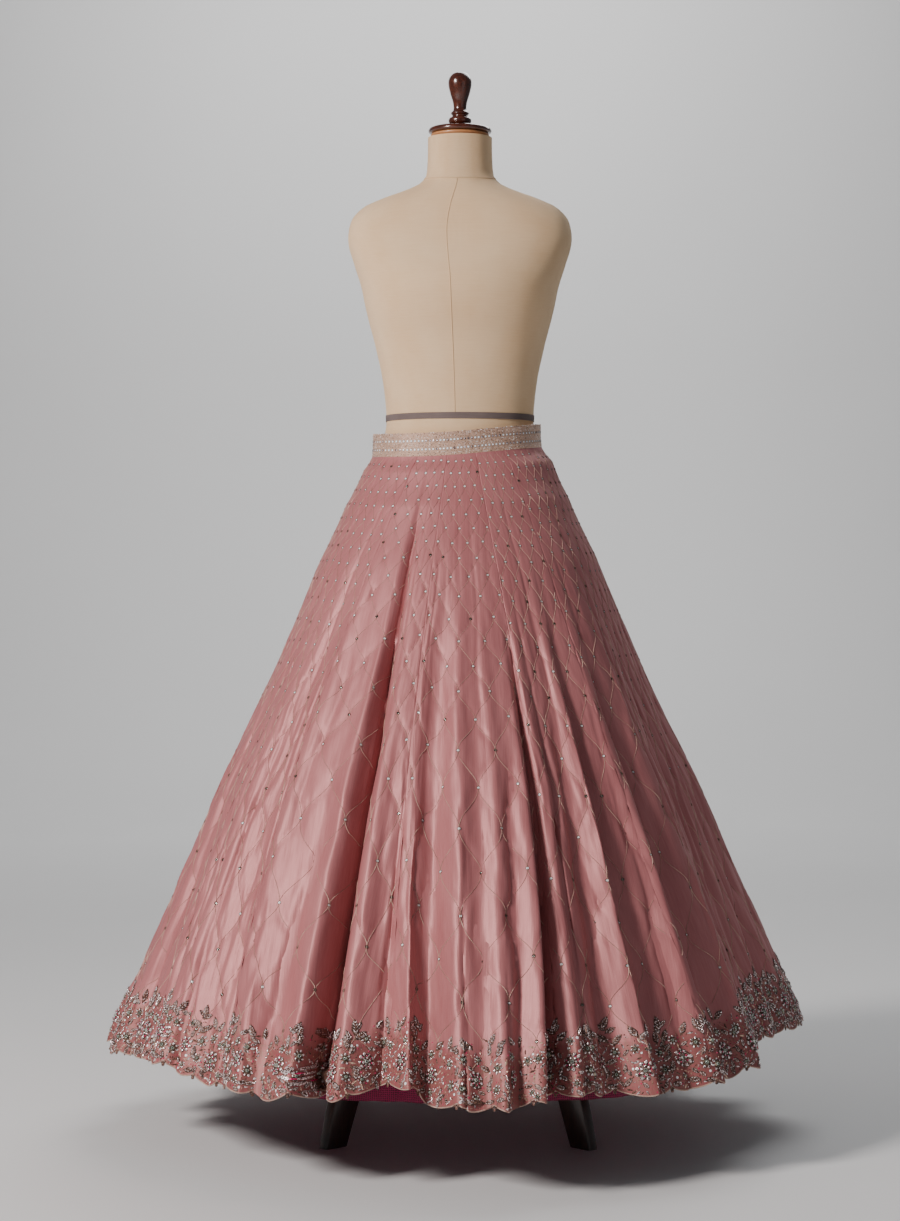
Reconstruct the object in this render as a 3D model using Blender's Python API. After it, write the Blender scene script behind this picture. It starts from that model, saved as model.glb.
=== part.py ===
"""A lehenga skirt of fourteen kalis on a limbless dress form with a four-legged wooden stand.

Metres, +Z up. The floor is z = 0 and the front faces -Y. Angles round the skirt are degrees from
the front, growing towards +X. The surface that the skirt's functions describe is its outer face.
"""

import math
from collections import namedtuple

import bpy
from mathutils import Vector

# ---------------------------------------------------------------- driving dimensions

SEAM_GAP = 0.0003
PROBE_COLUMN = 0.05
PROBE_HEIGHT = 0.001

KALI_COUNT = 14
KALI_STEP = 360.0 / KALI_COUNT
FIRST_SEAM = -11.7
KALI_WALL = 0.0020

SCALLOPS_PER_KALI = 5
LOW_COLUMNS = 4 * SCALLOPS_PER_KALI
HIGH_COLUMNS = LOW_COLUMNS // 2
COLUMN_STEP = KALI_STEP / LOW_COLUMNS

HEM_HEIGHT = 0.139
FOLD_GROWTH = 1.10
SCALLOP_DROP = 0.010
SCALLOP_POWER = 0.7
BORDER_RELIEF = 0.0015
ROSE_RELIEF = 0.0020

BAND_TOP = 1.138
BAND_TALL = 0.0375
BAND_TILT_SIDE = 0.008
BAND_TILT_FRONT = -0.009
BAND_WALL = 0.0030
BAND_PROUD = 0.0008
BAND_COLUMNS = 5 * KALI_COUNT

NET_WALL = 0.0015
NET_TUCK = 0.012
NET_WAVE = 0.007

FORM_COLUMNS = 28
TAPE_HEIGHT = 1.155
TAPE_TALL = 0.010
TAPE_WALL = 0.0010

TURNED_SIDES = 18
POLE_RADIUS = 0.016
HUB_RADIUS = 0.034
HUB_BOTTOM = 0.160
HUB_TOP = 0.262
LEG_ANGLES = (-46.0, 44.0, 134.0, 224.0)
LEG_THICK = 0.019

# ---------------------------------------------------------------- tables

# Half widths of the skirt's outer face at each level, folds apart. The band ends at BAND_TOP and
# BAND_TALL below it.
Section = namedtuple("Section", "height left right front back")
SKIRT = (
    Section(1.150, 0.1425, 0.1320, 0.0990, 0.1005),
    Section(1.100, 0.1440, 0.1340, 0.1010, 0.1030),
    Section(1.078, 0.1580, 0.1510, 0.1160, 0.1180),
    Section(1.020, 0.1870, 0.1775, 0.1500, 0.1500),
    Section(0.920, 0.2330, 0.2240, 0.2060, 0.2020),
    Section(0.810, 0.2780, 0.2700, 0.2610, 0.2550),
    Section(0.690, 0.3320, 0.3220, 0.3200, 0.3120),
    Section(0.560, 0.3930, 0.3870, 0.3830, 0.3750),
    Section(0.410, 0.4540, 0.4520, 0.4510, 0.4430),
    Section(0.260, 0.5160, 0.5200, 0.5190, 0.5110),
    Section(0.125, 0.5690, 0.5680, 0.5770, 0.5680),
)

# Folds from the front towards +X, each a valley and the crest after it, as columns counted from
# FIRST_SEAM. The leans are the degrees that a line has turned half way up. Depth and rise are at
# the hem, the lifts raise the hem there, and top is the height where the fold starts.
Fold = namedtuple("Fold", "valley valley_lean depth valley_lift crest crest_lean rise crest_lift top")
FOLDS = (
    Fold(5, -0.9, 0.030, 0.000, 9, -0.2, 0.035, 0.004, 0.90),
    Fold(11, 1.0, -0.015, 0.000, 13, 2.0, 0.042, 0.003, 0.84),
    Fold(15, 3.0, -0.020, 0.004, 17, 3.8, 0.035, 0.012, 0.80),
    Fold(19, 4.0, 0.026, 0.008, 22, 2.0, 0.006, 0.015, 0.86),
    Fold(28, 1.4, 0.036, 0.005, 32, 0.5, 0.008, 0.005, 0.88),
    Fold(35, 0.4, 0.032, 0.000, 41, 0.0, 0.006, 0.010, 0.92),
    Fold(46, 0.2, 0.024, 0.009, 49, 2.0, -0.002, 0.018, 0.84),
    Fold(61, 0.0, 0.052, 0.036, 85, -2.0, 0.014, 0.034, 0.95),
    Fold(92, -1.0, 0.036, 0.010, 100, -1.0, 0.010, 0.006, 0.86),
    Fold(107, -1.0, 0.048, 0.000, 116, -0.5, 0.014, 0.004, 0.96),
    Fold(123, 0.5, 0.034, 0.008, 130, -0.5, 0.016, 0.010, 0.82),
    Fold(136, 0.5, 0.026, 0.000, 143, -1.0, 0.018, 0.000, 0.88),
    Fold(149, -1.0, 0.044, 0.000, 156, -1.5, 0.010, 0.012, 0.98),
    Fold(163, -1.0, 0.030, 0.012, 171, -1.0, 0.016, 0.000, 0.84),
    Fold(179, -0.5, 0.050, 0.000, 186, -1.5, 0.006, 0.010, 0.94),
    Fold(193, -1.0, 0.030, 0.000, 201, -1.0, 0.010, 0.000, 0.86),
    Fold(209, -1.0, 0.024, 0.000, 218, -2.0, 0.010, 0.006, 0.84),
    Fold(223, -1.5, 0.018, 0.008, 229, -1.5, 0.008, 0.008, 0.80),
    Fold(238, -2.5, 0.014, 0.016, 246, -4.5, 0.008, 0.024, 0.80),
    Fold(255, -6.5, 0.034, 0.000, 262, -6.5, 0.020, 0.010, 0.98),
    Fold(265, -4.5, -0.008, 0.000, 268, -1.5, 0.022, 0.008, 0.76),
    Fold(270, 0.0, 0.056, 0.000, 275, -0.8, 0.004, 0.006, 1.06),
    Fold(279, -0.8, 0.034, 0.022, 283, -2.6, 0.010, 0.028, 0.60),
)

# How far the net underskirt stands inside the skirt at each level, folds apart, and its waves.
NetRow = namedtuple("NetRow", "height inset wave")
NET = (
    NetRow(BAND_TOP - BAND_TALL + NET_TUCK, 0.0030, 0.00),
    NetRow(BAND_TOP - BAND_TALL, 0.0032, 0.00),
    NetRow(1.074, 0.0045, 0.00),
    NetRow(0.920, 0.0260, 0.15),
    NetRow(0.620, 0.0570, 0.50),
    NetRow(0.340, 0.0830, 0.80),
    NetRow(0.121, 0.0960, 1.00),
)

# Half widths of the dress form, from the neck's top down to its base, and the power that squares
# its section: 1 is an oval.
FormRow = namedtuple("FormRow", "height side front back power")
FORM = (
    FormRow(1.6150, 0.0525, 0.0500, 0.0550, 1.00),
    FormRow(1.5800, 0.0530, 0.0500, 0.0560, 1.00),
    FormRow(1.5510, 0.0560, 0.0520, 0.0600, 1.00),
    FormRow(1.5380, 0.0680, 0.0550, 0.0640, 0.98),
    FormRow(1.5280, 0.0900, 0.0580, 0.0680, 0.95),
    FormRow(1.5160, 0.1240, 0.0620, 0.0730, 0.92),
    FormRow(1.5020, 0.1560, 0.0670, 0.0780, 0.88),
    FormRow(1.4840, 0.1750, 0.0740, 0.0840, 0.84),
    FormRow(1.4630, 0.1820, 0.0810, 0.0890, 0.80),
    FormRow(1.4400, 0.1825, 0.0890, 0.0920, 0.80),
    FormRow(1.4120, 0.1745, 0.1010, 0.0930, 0.82),
    FormRow(1.3720, 0.1620, 0.1160, 0.0920, 0.86),
    FormRow(1.3300, 0.1530, 0.1120, 0.0890, 0.88),
    FormRow(1.2800, 0.1400, 0.0970, 0.0860, 0.91),
    FormRow(1.2200, 0.1270, 0.0890, 0.0830, 0.95),
    FormRow(1.1550, 0.1205, 0.0860, 0.0810, 1.00),
    FormRow(1.1300, 0.1230, 0.0885, 0.0860, 1.00),
    FormRow(1.1100, 0.1275, 0.0910, 0.0910, 1.00),
    FormRow(1.0900, 0.1350, 0.0940, 0.0980, 1.00),
    FormRow(1.0500, 0.1490, 0.1020, 0.1090, 1.00),
    FormRow(1.0000, 0.1620, 0.1090, 0.1190, 1.00),
    FormRow(0.9500, 0.1690, 0.1140, 0.1260, 1.00),
    FormRow(0.9000, 0.1710, 0.1160, 0.1270, 1.00),
    FormRow(0.8620, 0.1690, 0.1150, 0.1240, 1.00),
    FormRow(0.8500, 0.1620, 0.1090, 0.1170, 1.00),
)

# Turned profiles: radius and height from the bottom up.
TurnedRow = namedtuple("TurnedRow", "radius height")
NECK_RING = (
    TurnedRow(0.0440, 1.6153),
    TurnedRow(0.0475, 1.6175),
    TurnedRow(0.0475, 1.6205),
    TurnedRow(0.0450, 1.6222),
)
NECK_CAP = (
    TurnedRow(0.0490, 1.6225),
    TurnedRow(0.0514, 1.6245),
    TurnedRow(0.0514, 1.6275),
    TurnedRow(0.0480, 1.6310),
    TurnedRow(0.0330, 1.6340),
    TurnedRow(0.0180, 1.6352),
)
FINIAL = (
    TurnedRow(0.0120, 1.6355),
    TurnedRow(0.0180, 1.6400),
    TurnedRow(0.0180, 1.6465),
    TurnedRow(0.0125, 1.6510),
    TurnedRow(0.0150, 1.6555),
    TurnedRow(0.0115, 1.6600),
    TurnedRow(0.0105, 1.6650),
    TurnedRow(0.0120, 1.6750),
    TurnedRow(0.0160, 1.6880),
    TurnedRow(0.0190, 1.7020),
    TurnedRow(0.0180, 1.7120),
    TurnedRow(0.0120, 1.7200),
    TurnedRow(0.0040, 1.7228),
)
HUB = (
    TurnedRow(0.0220, HUB_BOTTOM),
    TurnedRow(HUB_RADIUS, HUB_BOTTOM + 0.008),
    TurnedRow(HUB_RADIUS, HUB_TOP - 0.014),
    TurnedRow(0.0240, HUB_TOP),
)
POLE = (
    TurnedRow(POLE_RADIUS, HUB_TOP + SEAM_GAP),
    TurnedRow(POLE_RADIUS, FORM[-1].height - SEAM_GAP),
)

# Middle line of a leg's board, from the hub out to the foot: reach, height and the board's depth.
LegRow = namedtuple("LegRow", "reach height depth")
LEG = (
    LegRow(0.0343, 0.2100, 0.056),
    LegRow(0.0800, 0.2110, 0.052),
    LegRow(0.1300, 0.2040, 0.048),
    LegRow(0.1760, 0.1840, 0.047),
    LegRow(0.2150, 0.1500, 0.049),
    LegRow(0.2420, 0.1060, 0.052),
    LegRow(0.2600, 0.0580, 0.050),
    LegRow(0.2720, 0.0200, 0.045),
    LegRow(0.2780, 0.0000, 0.042),
)

# Shares of the way from the waistband down to the hem where a kali has a row of points, with the
# columns in that row.
KaliRow = namedtuple("KaliRow", "share columns")
KALI_ROWS = (
    KaliRow(0.000, HIGH_COLUMNS),
    KaliRow(0.022, HIGH_COLUMNS),
    KaliRow(0.080, HIGH_COLUMNS),
    KaliRow(0.190, HIGH_COLUMNS),
    KaliRow(0.330, HIGH_COLUMNS),
    KaliRow(0.480, LOW_COLUMNS),
    KaliRow(0.620, LOW_COLUMNS),
    KaliRow(0.770, LOW_COLUMNS),
    KaliRow(0.905, LOW_COLUMNS),
    KaliRow(0.955, LOW_COLUMNS),
    KaliRow(1.000, LOW_COLUMNS),
)
BORDER_SHARE = 0.93

# Linear colour, roughness and metallic value of each material.
Finish = namedtuple("Finish", "color roughness metallic")
FINISHES = {
    "pink_silk": Finish((0.560, 0.285, 0.295), 0.42, 0.0),
    "beaded_band": Finish((0.500, 0.340, 0.330), 0.35, 0.3),
    "magenta_net": Finish((0.420, 0.020, 0.120), 0.70, 0.0),
    "cream_linen": Finish((0.720, 0.600, 0.450), 0.85, 0.0),
    "grey_tape": Finish((0.160, 0.115, 0.110), 0.80, 0.0),
    "pale_wood": Finish((0.560, 0.230, 0.090), 0.40, 0.0),
    "mahogany": Finish((0.085, 0.018, 0.008), 0.20, 0.0),
    "dark_wood": Finish((0.040, 0.014, 0.010), 0.35, 0.0),
}

# ---------------------------------------------------------------- curves


def polar(angle, radius, height):
    """The point at a radius and an angle from the front."""
    turn = math.radians(angle)
    return Vector((radius * math.sin(turn), -radius * math.cos(turn), height))


def smooth_value(rows, column, height):
    """A table's column at a height, on a Catmull-Rom curve through its rows (highest row first)."""
    last = len(rows) - 1
    upper = 0
    while upper < last - 1 and rows[upper + 1].height > height:
        upper += 1
    before, start, end, after = (
        getattr(rows[min(max(upper + step, 0), last)], column) for step in (-1, 0, 1, 2)
    )
    span = rows[upper].height - rows[upper + 1].height
    share = min(max((rows[upper].height - height) / span, 0.0), 1.0)
    return start + 0.5 * share * (
        end - before
        + share * (2.0 * before - 5.0 * start + 4.0 * end - after
                   + share * (3.0 * (start - end) + after - before))
    )


def oval_radius(angle, left, right, front, back):
    """The radius of an oval whose quarters are ellipses with these half widths."""
    turn = math.radians(angle)
    across = right if math.sin(turn) > 0.0 else left
    along = front if math.cos(turn) > 0.0 else back
    return across * along / math.hypot(along * math.sin(turn), across * math.cos(turn))


def band_tilt(angle):
    """How far the waistband's edges lie above their mean level at an angle."""
    turn = math.radians(angle)
    return BAND_TILT_SIDE * math.sin(turn) + BAND_TILT_FRONT * math.cos(turn)


def skirt_base_radius(angle, height):
    """The skirt's radius without its folds, its levels tilted with the waistband near the top."""
    share = (height - HEM_HEIGHT) / (BAND_TOP - HEM_HEIGHT)
    level = height - band_tilt(angle) * max(share, 0.0)
    halves = (smooth_value(SKIRT, column, level) for column in ("left", "right", "front", "back"))
    return oval_radius(angle, *halves)


FoldLine = namedtuple("FoldLine", "column lean offset top lift")


def fold_lines():
    """Each valley and crest in order, once for the round before the first seam and once after."""
    lines = []
    for fold in FOLDS:
        lines.append(FoldLine(fold.valley, fold.valley_lean, -fold.depth, fold.top, fold.valley_lift))
        lines.append(FoldLine(fold.crest, fold.crest_lean, fold.rise, fold.top, fold.crest_lift))
    round_columns = KALI_COUNT * LOW_COLUMNS
    before = [line._replace(column=line.column - round_columns) for line in lines]
    return before + lines


FOLD_LINES = fold_lines()


def fold_neighbours(column):
    """The fold lines on both sides of a column, and the column's share of the way between them."""
    place = column % (KALI_COUNT * LOW_COLUMNS)
    if place > FOLD_LINES[-1].column:
        place -= KALI_COUNT * LOW_COLUMNS
    upper = 1
    while FOLD_LINES[upper].column < place:
        upper += 1
    start, end = FOLD_LINES[upper - 1], FOLD_LINES[upper]
    return start, end, (place - start.column) / (end.column - start.column)


def ease(start, end, share):
    """A value that leaves one end and reaches the other gently."""
    return start + (end - start) * (0.5 - 0.5 * math.cos(math.pi * share))


def grown_offset(line, height):
    """A fold line's offset at a height: nothing above its top, the whole at the hem."""
    share = max((line.top - height) / (line.top - HEM_HEIGHT), 0.0)
    return line.offset * share ** FOLD_GROWTH


def fold_offset(column, height):
    """How far the folds move the cloth in or out."""
    start, end, share = fold_neighbours(column)
    return ease(grown_offset(start, height), grown_offset(end, height), share)


def fold_lift(column):
    """How far the folds raise the hem."""
    start, end, share = fold_neighbours(column)
    return ease(start.lift, end.lift, share)


def column_angle(column, height):
    """The angle of a column at a height, where the folds lean most half way up."""
    start, end, share = fold_neighbours(column)
    lean = start.lean + (end.lean - start.lean) * share
    way_up = min(max((height - HEM_HEIGHT) / (BAND_TOP - BAND_TALL - HEM_HEIGHT), 0.0), 1.0)
    return FIRST_SEAM + column * COLUMN_STEP + lean * math.sin(math.pi * way_up)


def skirt_surface(column, height):
    """A point of the skirt's outer face."""
    angle = column_angle(column, height)
    return polar(angle, skirt_base_radius(angle, height) + fold_offset(column, height), height)


def skirt_normal(column, height):
    """The outward direction of the skirt's outer face."""
    right = skirt_surface(column + PROBE_COLUMN, height)
    left = skirt_surface(column - PROBE_COLUMN, height)
    upper = skirt_surface(column, height + PROBE_HEIGHT)
    lower = skirt_surface(column, height - PROBE_HEIGHT)
    return (lower - upper).cross(right - left).normalized()


def skirt_point(column, height, out):
    """A point of the skirt moved out along its outward direction."""
    return skirt_surface(column, height) + skirt_normal(column, height) * out


def scallop(column):
    """0 at the notch between two scallops and 1 at a scallop's lowest point."""
    share = column * SCALLOPS_PER_KALI / LOW_COLUMNS % 1.0
    return math.sin(math.pi * share) ** SCALLOP_POWER


def band_height(column, share):
    """A height on the waistband, from its upper edge at share 0 to its lower edge at share 1."""
    return BAND_TOP + band_tilt(FIRST_SEAM + column * COLUMN_STEP) - BAND_TALL * share


def hem_height(column):
    """The skirt's lower edge with its scallops."""
    return HEM_HEIGHT + fold_lift(column) - SCALLOP_DROP * scallop(column)


def form_point(angle, height, out):
    """A point of the dress form's faceted face, moved out."""
    upper = 0
    while FORM[upper + 1].height > height:
        upper += 1
    top, low = FORM[upper], FORM[upper + 1]
    share = (top.height - height) / (top.height - low.height)
    side, front, back, power = (
        getattr(top, column) + (getattr(low, column) - getattr(top, column)) * share
        for column in ("side", "front", "back", "power")
    )
    across = math.sin(math.radians(angle))
    along = math.cos(math.radians(angle))
    depth = front if along > 0.0 else back
    return Vector((
        (side + out) * math.copysign(abs(across) ** power, across),
        -(depth + out) * math.copysign(abs(along) ** power, along),
        height,
    ))


# ---------------------------------------------------------------- meshes


def strip_faces(upper, lower):
    """Triangles between two rows of points, where the lower has as many steps or twice as many."""
    faces = []
    if len(upper) == len(lower):
        for step in range(len(upper) - 1):
            faces.append((upper[step], lower[step], lower[step + 1]))
            faces.append((upper[step], lower[step + 1], upper[step + 1]))
        return faces
    for step in range(len(upper) - 1):
        left, middle, right = lower[2 * step:2 * step + 3]
        faces.append((upper[step], left, middle))
        faces.append((upper[step], middle, upper[step + 1]))
        faces.append((upper[step + 1], middle, right))
    return faces


def wall_mesh(outer_rows, inner_rows, is_ring):
    """Points and faces of a wall between two sets of rows, open at its sides or closed as a ring."""
    points = []
    numbers = []
    for rows in (outer_rows, inner_rows):
        numbered = []
        for row in rows:
            first = len(points)
            points.extend(row)
            numbered.append(list(range(first, len(points))) + ([first] if is_ring else []))
        numbers.append(numbered)
    outer, inner = numbers
    faces = []
    for upper, lower in zip(outer, outer[1:]):
        faces.extend(strip_faces(upper, lower))
    for upper, lower in zip(inner, inner[1:]):
        faces.extend(face[::-1] for face in strip_faces(upper, lower))
    faces.extend(strip_faces(inner[0], outer[0]))
    faces.extend(strip_faces(outer[-1], inner[-1]))
    if not is_ring:
        for side, is_first in ((0, True), (-1, False)):
            outer_side = [row[side] for row in outer]
            inner_side = [row[side] for row in inner]
            edge = strip_faces(inner_side, outer_side)
            faces.extend(edge if not is_first else (face[::-1] for face in edge))
    return points, faces


def tube_mesh(rings):
    """Points and faces of a closed solid through rings of equal length, capped at both ends."""
    count = len(rings[0])
    points = [point for ring in rings for point in ring]
    faces = []
    for ring in range(len(rings) - 1):
        upper = [ring * count + step % count for step in range(count + 1)]
        lower = [index + count for index in upper]
        faces.extend(strip_faces(upper, lower))
    faces.append(tuple(range(count)))
    faces.append(tuple(range(len(points) - 1, len(points) - count - 1, -1)))
    return points, faces


def make_material(name):
    """A material with one of the listed finishes."""
    finish = FINISHES[name]
    material = bpy.data.materials.get(name) or bpy.data.materials.new(name)
    material.use_nodes = True
    shader = material.node_tree.nodes["Principled BSDF"]
    shader.inputs["Base Color"].default_value = (*finish.color, 1.0)
    shader.inputs["Roughness"].default_value = finish.roughness
    shader.inputs["Metallic"].default_value = finish.metallic
    material.diffuse_color = (*finish.color, 1.0)
    return material


def add_object(name, points, faces, finish):
    """A mesh object, smooth but for its sharp edges."""
    mesh = bpy.data.meshes.new(name)
    mesh.from_pydata([tuple(point) for point in points], [], faces)
    mesh.materials.append(make_material(finish))
    mesh.shade_smooth()
    mesh.set_sharp_from_angle(angle=math.radians(40.0))
    made = bpy.data.objects.new(name, mesh)
    bpy.context.collection.objects.link(made)
    return made


# ---------------------------------------------------------------- the skirt


def kali_relief(column, share):
    """How far the embroidered border is raised, most over each scallop's rose."""
    if share < BORDER_SHARE:
        return 0.0
    return BORDER_RELIEF + ROSE_RELIEF * scallop(column) ** 2


def make_kali(number):
    """One flared panel, from the waistband's lower edge to the scalloped hem."""
    first = number * LOW_COLUMNS
    last = first + LOW_COLUMNS
    outer_rows = []
    inner_rows = []
    for row in KALI_ROWS:
        outer, inner = [], []
        for step in range(row.columns + 1):
            column = first + LOW_COLUMNS * step / row.columns
            top = band_height(column, 1.0) - SEAM_GAP
            height = top + (hem_height(column) - top) * row.share
            radius = skirt_base_radius(column_angle(column, height), height)
            half_gap = math.degrees(0.5 * SEAM_GAP / radius) / COLUMN_STEP
            place = min(max(column, first + half_gap), last - half_gap)
            outer.append(skirt_point(place, height, kali_relief(column, row.share)))
            inner.append(skirt_point(place, height, -KALI_WALL))
        outer_rows.append(outer)
        inner_rows.append(inner)
    points, faces = wall_mesh(outer_rows, inner_rows, is_ring=False)
    return add_object(f"kali_{number + 1:02d}", points, faces, "pink_silk")


def make_waistband():
    """The beaded band, a closed ring."""
    outer_rows = []
    inner_rows = []
    for share in (0.0, 0.5, 1.0):
        outer, inner = [], []
        for step in range(BAND_COLUMNS):
            column = step * KALI_COUNT * LOW_COLUMNS / BAND_COLUMNS
            height = band_height(column, share)
            outer.append(skirt_point(column, height, BAND_PROUD))
            inner.append(skirt_point(column, height, BAND_PROUD - BAND_WALL))
        outer_rows.append(outer)
        inner_rows.append(inner)
    points, faces = wall_mesh(outer_rows, inner_rows, is_ring=True)
    return add_object("waistband", points, faces, "beaded_band")


def make_net():
    """The stiff net underskirt, tucked inside the waistband and showing a little under the hem."""
    outer_rows = []
    inner_rows = []
    for row in NET:
        outer, inner = [], []
        for step in range(BAND_COLUMNS):
            angle = FIRST_SEAM + 360.0 * step / BAND_COLUMNS
            height = row.height + band_tilt(angle) * (1.0 - row.wave)
            wave = NET_WAVE * row.wave * math.cos(2.0 * math.pi * KALI_COUNT * step / BAND_COLUMNS)
            radius = skirt_base_radius(angle, height) - row.inset - wave
            outer.append(polar(angle, radius, height))
            inner.append(polar(angle, radius - NET_WALL, height))
        outer_rows.append(outer)
        inner_rows.append(inner)
    points, faces = wall_mesh(outer_rows, inner_rows, is_ring=True)
    return add_object("net_underskirt", points, faces, "magenta_net")


# ---------------------------------------------------------------- the dress form and its stand


def make_torso():
    """The smooth, limbless form from the neck to the hips."""
    rings = []
    for row in FORM:
        rings.append([
            form_point(360.0 * step / FORM_COLUMNS, row.height, 0.0) for step in range(FORM_COLUMNS)
        ])
    points, faces = tube_mesh(rings)
    return add_object("form_torso", points, faces, "cream_linen")


def make_tape():
    """The narrow tape round the form's waist."""
    outer_rows = []
    inner_rows = []
    for lift in (0.5 * TAPE_TALL, 0.0, -0.5 * TAPE_TALL):
        angles = [360.0 * step / FORM_COLUMNS for step in range(FORM_COLUMNS)]
        height = TAPE_HEIGHT + lift
        outer_rows.append([form_point(angle, height, SEAM_GAP + TAPE_WALL) for angle in angles])
        inner_rows.append([form_point(angle, height, SEAM_GAP) for angle in angles])
    points, faces = wall_mesh(outer_rows, inner_rows, is_ring=True)
    return add_object("form_waist_tape", points, faces, "grey_tape")


def make_turned(name, profile, finish, sides=TURNED_SIDES, first_angle=0.0):
    """A turned piece on the form's axis."""
    rings = []
    for row in reversed(profile):
        rings.append([
            polar(first_angle + 360.0 * step / sides, row.radius, row.height)
            for step in range(sides)
        ])
    points, faces = tube_mesh(rings)
    return add_object(name, points, faces, finish)


def leg_outline():
    """Upper and lower edges of a leg's board as pairs of reach and height, the foot cut level."""
    upper, lower = [], []
    for step, row in enumerate(LEG):
        before = LEG[max(step - 1, 0)]
        after = LEG[min(step + 1, len(LEG) - 1)]
        run, fall = after.reach - before.reach, after.height - before.height
        if step == 0:
            run, fall = 1.0, 0.0
        if step == len(LEG) - 1:
            run, fall = 0.0, -1.0
        length = math.hypot(run, fall)
        across = (-fall / length * row.depth / 2.0, run / length * row.depth / 2.0)
        upper.append((row.reach + across[0], row.height + across[1]))
        lower.append((row.reach - across[0], row.height - across[1]))
    return upper, lower


def make_leg(number, angle):
    """One curved board leg, from the hub down to its level foot."""
    upper, lower = leg_outline()
    outline = upper + lower[::-1]
    count = len(outline)
    out = polar(angle, 1.0, 0.0)
    across = Vector((-out.y, out.x, 0.0)) * (LEG_THICK / 2.0)
    points = []
    for side in (across, -across):
        points.extend(out * reach + side + Vector((0.0, 0.0, height)) for reach, height in outline)
    faces = []
    steps = len(LEG)
    for step in range(steps - 1):
        quad = (step, count - 1 - step, count - 2 - step, step + 1)
        faces.append(quad[::-1])
        faces.append(tuple(index + count for index in quad))
    for step in range(count):
        after = (step + 1) % count
        faces.append((step + count, after + count, after, step))
    return add_object(f"stand_leg_{number}", points, faces, "dark_wood")


def make_stand():
    """The pole, its hub and four legs, with a flat of the hub behind each leg."""
    make_turned("stand_pole", POLE, "dark_wood")
    hub_sides = 16
    half_side = 180.0 / hub_sides
    make_turned("stand_hub", HUB, "dark_wood", hub_sides, LEG_ANGLES[0] + half_side)
    for number, angle in enumerate(LEG_ANGLES, start=1):
        make_leg(number, angle)


def centre_on_floor():
    """Move every mesh sideways so that the middle of the whole model's box is above the origin."""
    points = [vertex.co for made in bpy.data.objects for vertex in made.data.vertices]
    middle = Vector([
        -0.5 * (min(point[axis] for point in points) + max(point[axis] for point in points))
        for axis in (0, 1)
    ] + [0.0])
    for made in bpy.data.objects:
        for vertex in made.data.vertices:
            vertex.co += middle


def main():
    """Build every piece."""
    for old in list(bpy.data.objects):
        bpy.data.objects.remove(old, do_unlink=True)
    make_waistband()
    for number in range(KALI_COUNT):
        make_kali(number)
    make_net()
    make_torso()
    make_tape()
    make_turned("neck_ring", NECK_RING, "pale_wood")
    make_turned("neck_cap", NECK_CAP, "mahogany")
    make_turned("finial", FINIAL, "mahogany")
    make_stand()
    centre_on_floor()


main()
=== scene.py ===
"""The looks of a lehenga skirt of fourteen kalis on a limbless dress form with a wooden stand.

Metres, +Z up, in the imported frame. The floor is z = 0 and the front faces -Y. Places on the skirt
are a column round it, counted from the first kali's left seam, and a height. Twenty columns make a
kali. Angles are degrees from the front, growing towards +X.
"""

import math
from collections import defaultdict, namedtuple

import bpy
import mathutils
import numpy as np
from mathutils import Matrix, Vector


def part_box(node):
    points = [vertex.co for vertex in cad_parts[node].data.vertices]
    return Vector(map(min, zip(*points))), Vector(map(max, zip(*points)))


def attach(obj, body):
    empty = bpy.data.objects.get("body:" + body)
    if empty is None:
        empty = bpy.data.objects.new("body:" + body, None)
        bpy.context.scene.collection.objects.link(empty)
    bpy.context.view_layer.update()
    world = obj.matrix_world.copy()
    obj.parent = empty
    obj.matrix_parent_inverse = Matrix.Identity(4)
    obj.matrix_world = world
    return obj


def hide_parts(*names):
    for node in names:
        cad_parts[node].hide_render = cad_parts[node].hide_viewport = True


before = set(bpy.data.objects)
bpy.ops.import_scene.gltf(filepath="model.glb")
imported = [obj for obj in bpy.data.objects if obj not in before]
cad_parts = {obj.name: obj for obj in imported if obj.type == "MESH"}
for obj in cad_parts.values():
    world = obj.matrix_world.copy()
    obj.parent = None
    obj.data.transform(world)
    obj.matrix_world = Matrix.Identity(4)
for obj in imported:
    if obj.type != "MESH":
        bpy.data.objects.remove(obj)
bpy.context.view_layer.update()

# ---------------------------------------------------------------- driving dimensions

# Panels and columns round the skirt. The first seam is an angle.
KALI_COUNT = 14
KALI_COLUMNS = 20
ROUND_COLUMNS = KALI_COUNT * KALI_COLUMNS
COLUMN_STEP = 360.0 / ROUND_COLUMNS
FIRST_SEAM = -11.7
SEED = 20

# The hem and its scallops.
HEM_HEIGHT = 0.139
SCALLOP_COLUMNS = 4
SCALLOP_DROP = 0.010
SCALLOP_POWER = 0.7

# How folds, laps, creases, tucks and ripples grow down the skirt, reach sideways and fade.
FOLD_GROWTH = 1.10
LAP_BACK = 2.8
LAP_GROWTH = 0.8
CREASE_REACH = 3.0
CREASE_START = 5.0
CREASE_FADE = 0.7
CREASE_SHARPNESS = 1.5
TUCK_EDGE = 0.32
TUCK_GROWTH = 0.6
RIPPLE_GROWTH = 1.3
RIPPLE_EVEN = 0.55
RIPPLE_UNEVEN = 0.45
WANDER = 0.32
DRIFT = 0.8

# How much the back half's creases and tucks differ from the front half's.
BACK_STRAY = 1.5
BACK_DEPTHS = (0.7, 1.2)
BACK_TOPS = (-0.06, 0.04)

# The silk sheets, their seams and the metres of their maps.
SILK_THICK = 0.0014
SILK_COLUMNS = 80
SILK_ROWS = 136
LINING_SHARE = 4
SEAM_GAP = 0.01
SEAM_SINK = 0.0005
SEAM_REACH = 0.16
FLAT_STRETCH = 1.09
FLAT_STEP = 0.37
HEM_COLUMN = 0.0124

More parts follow.
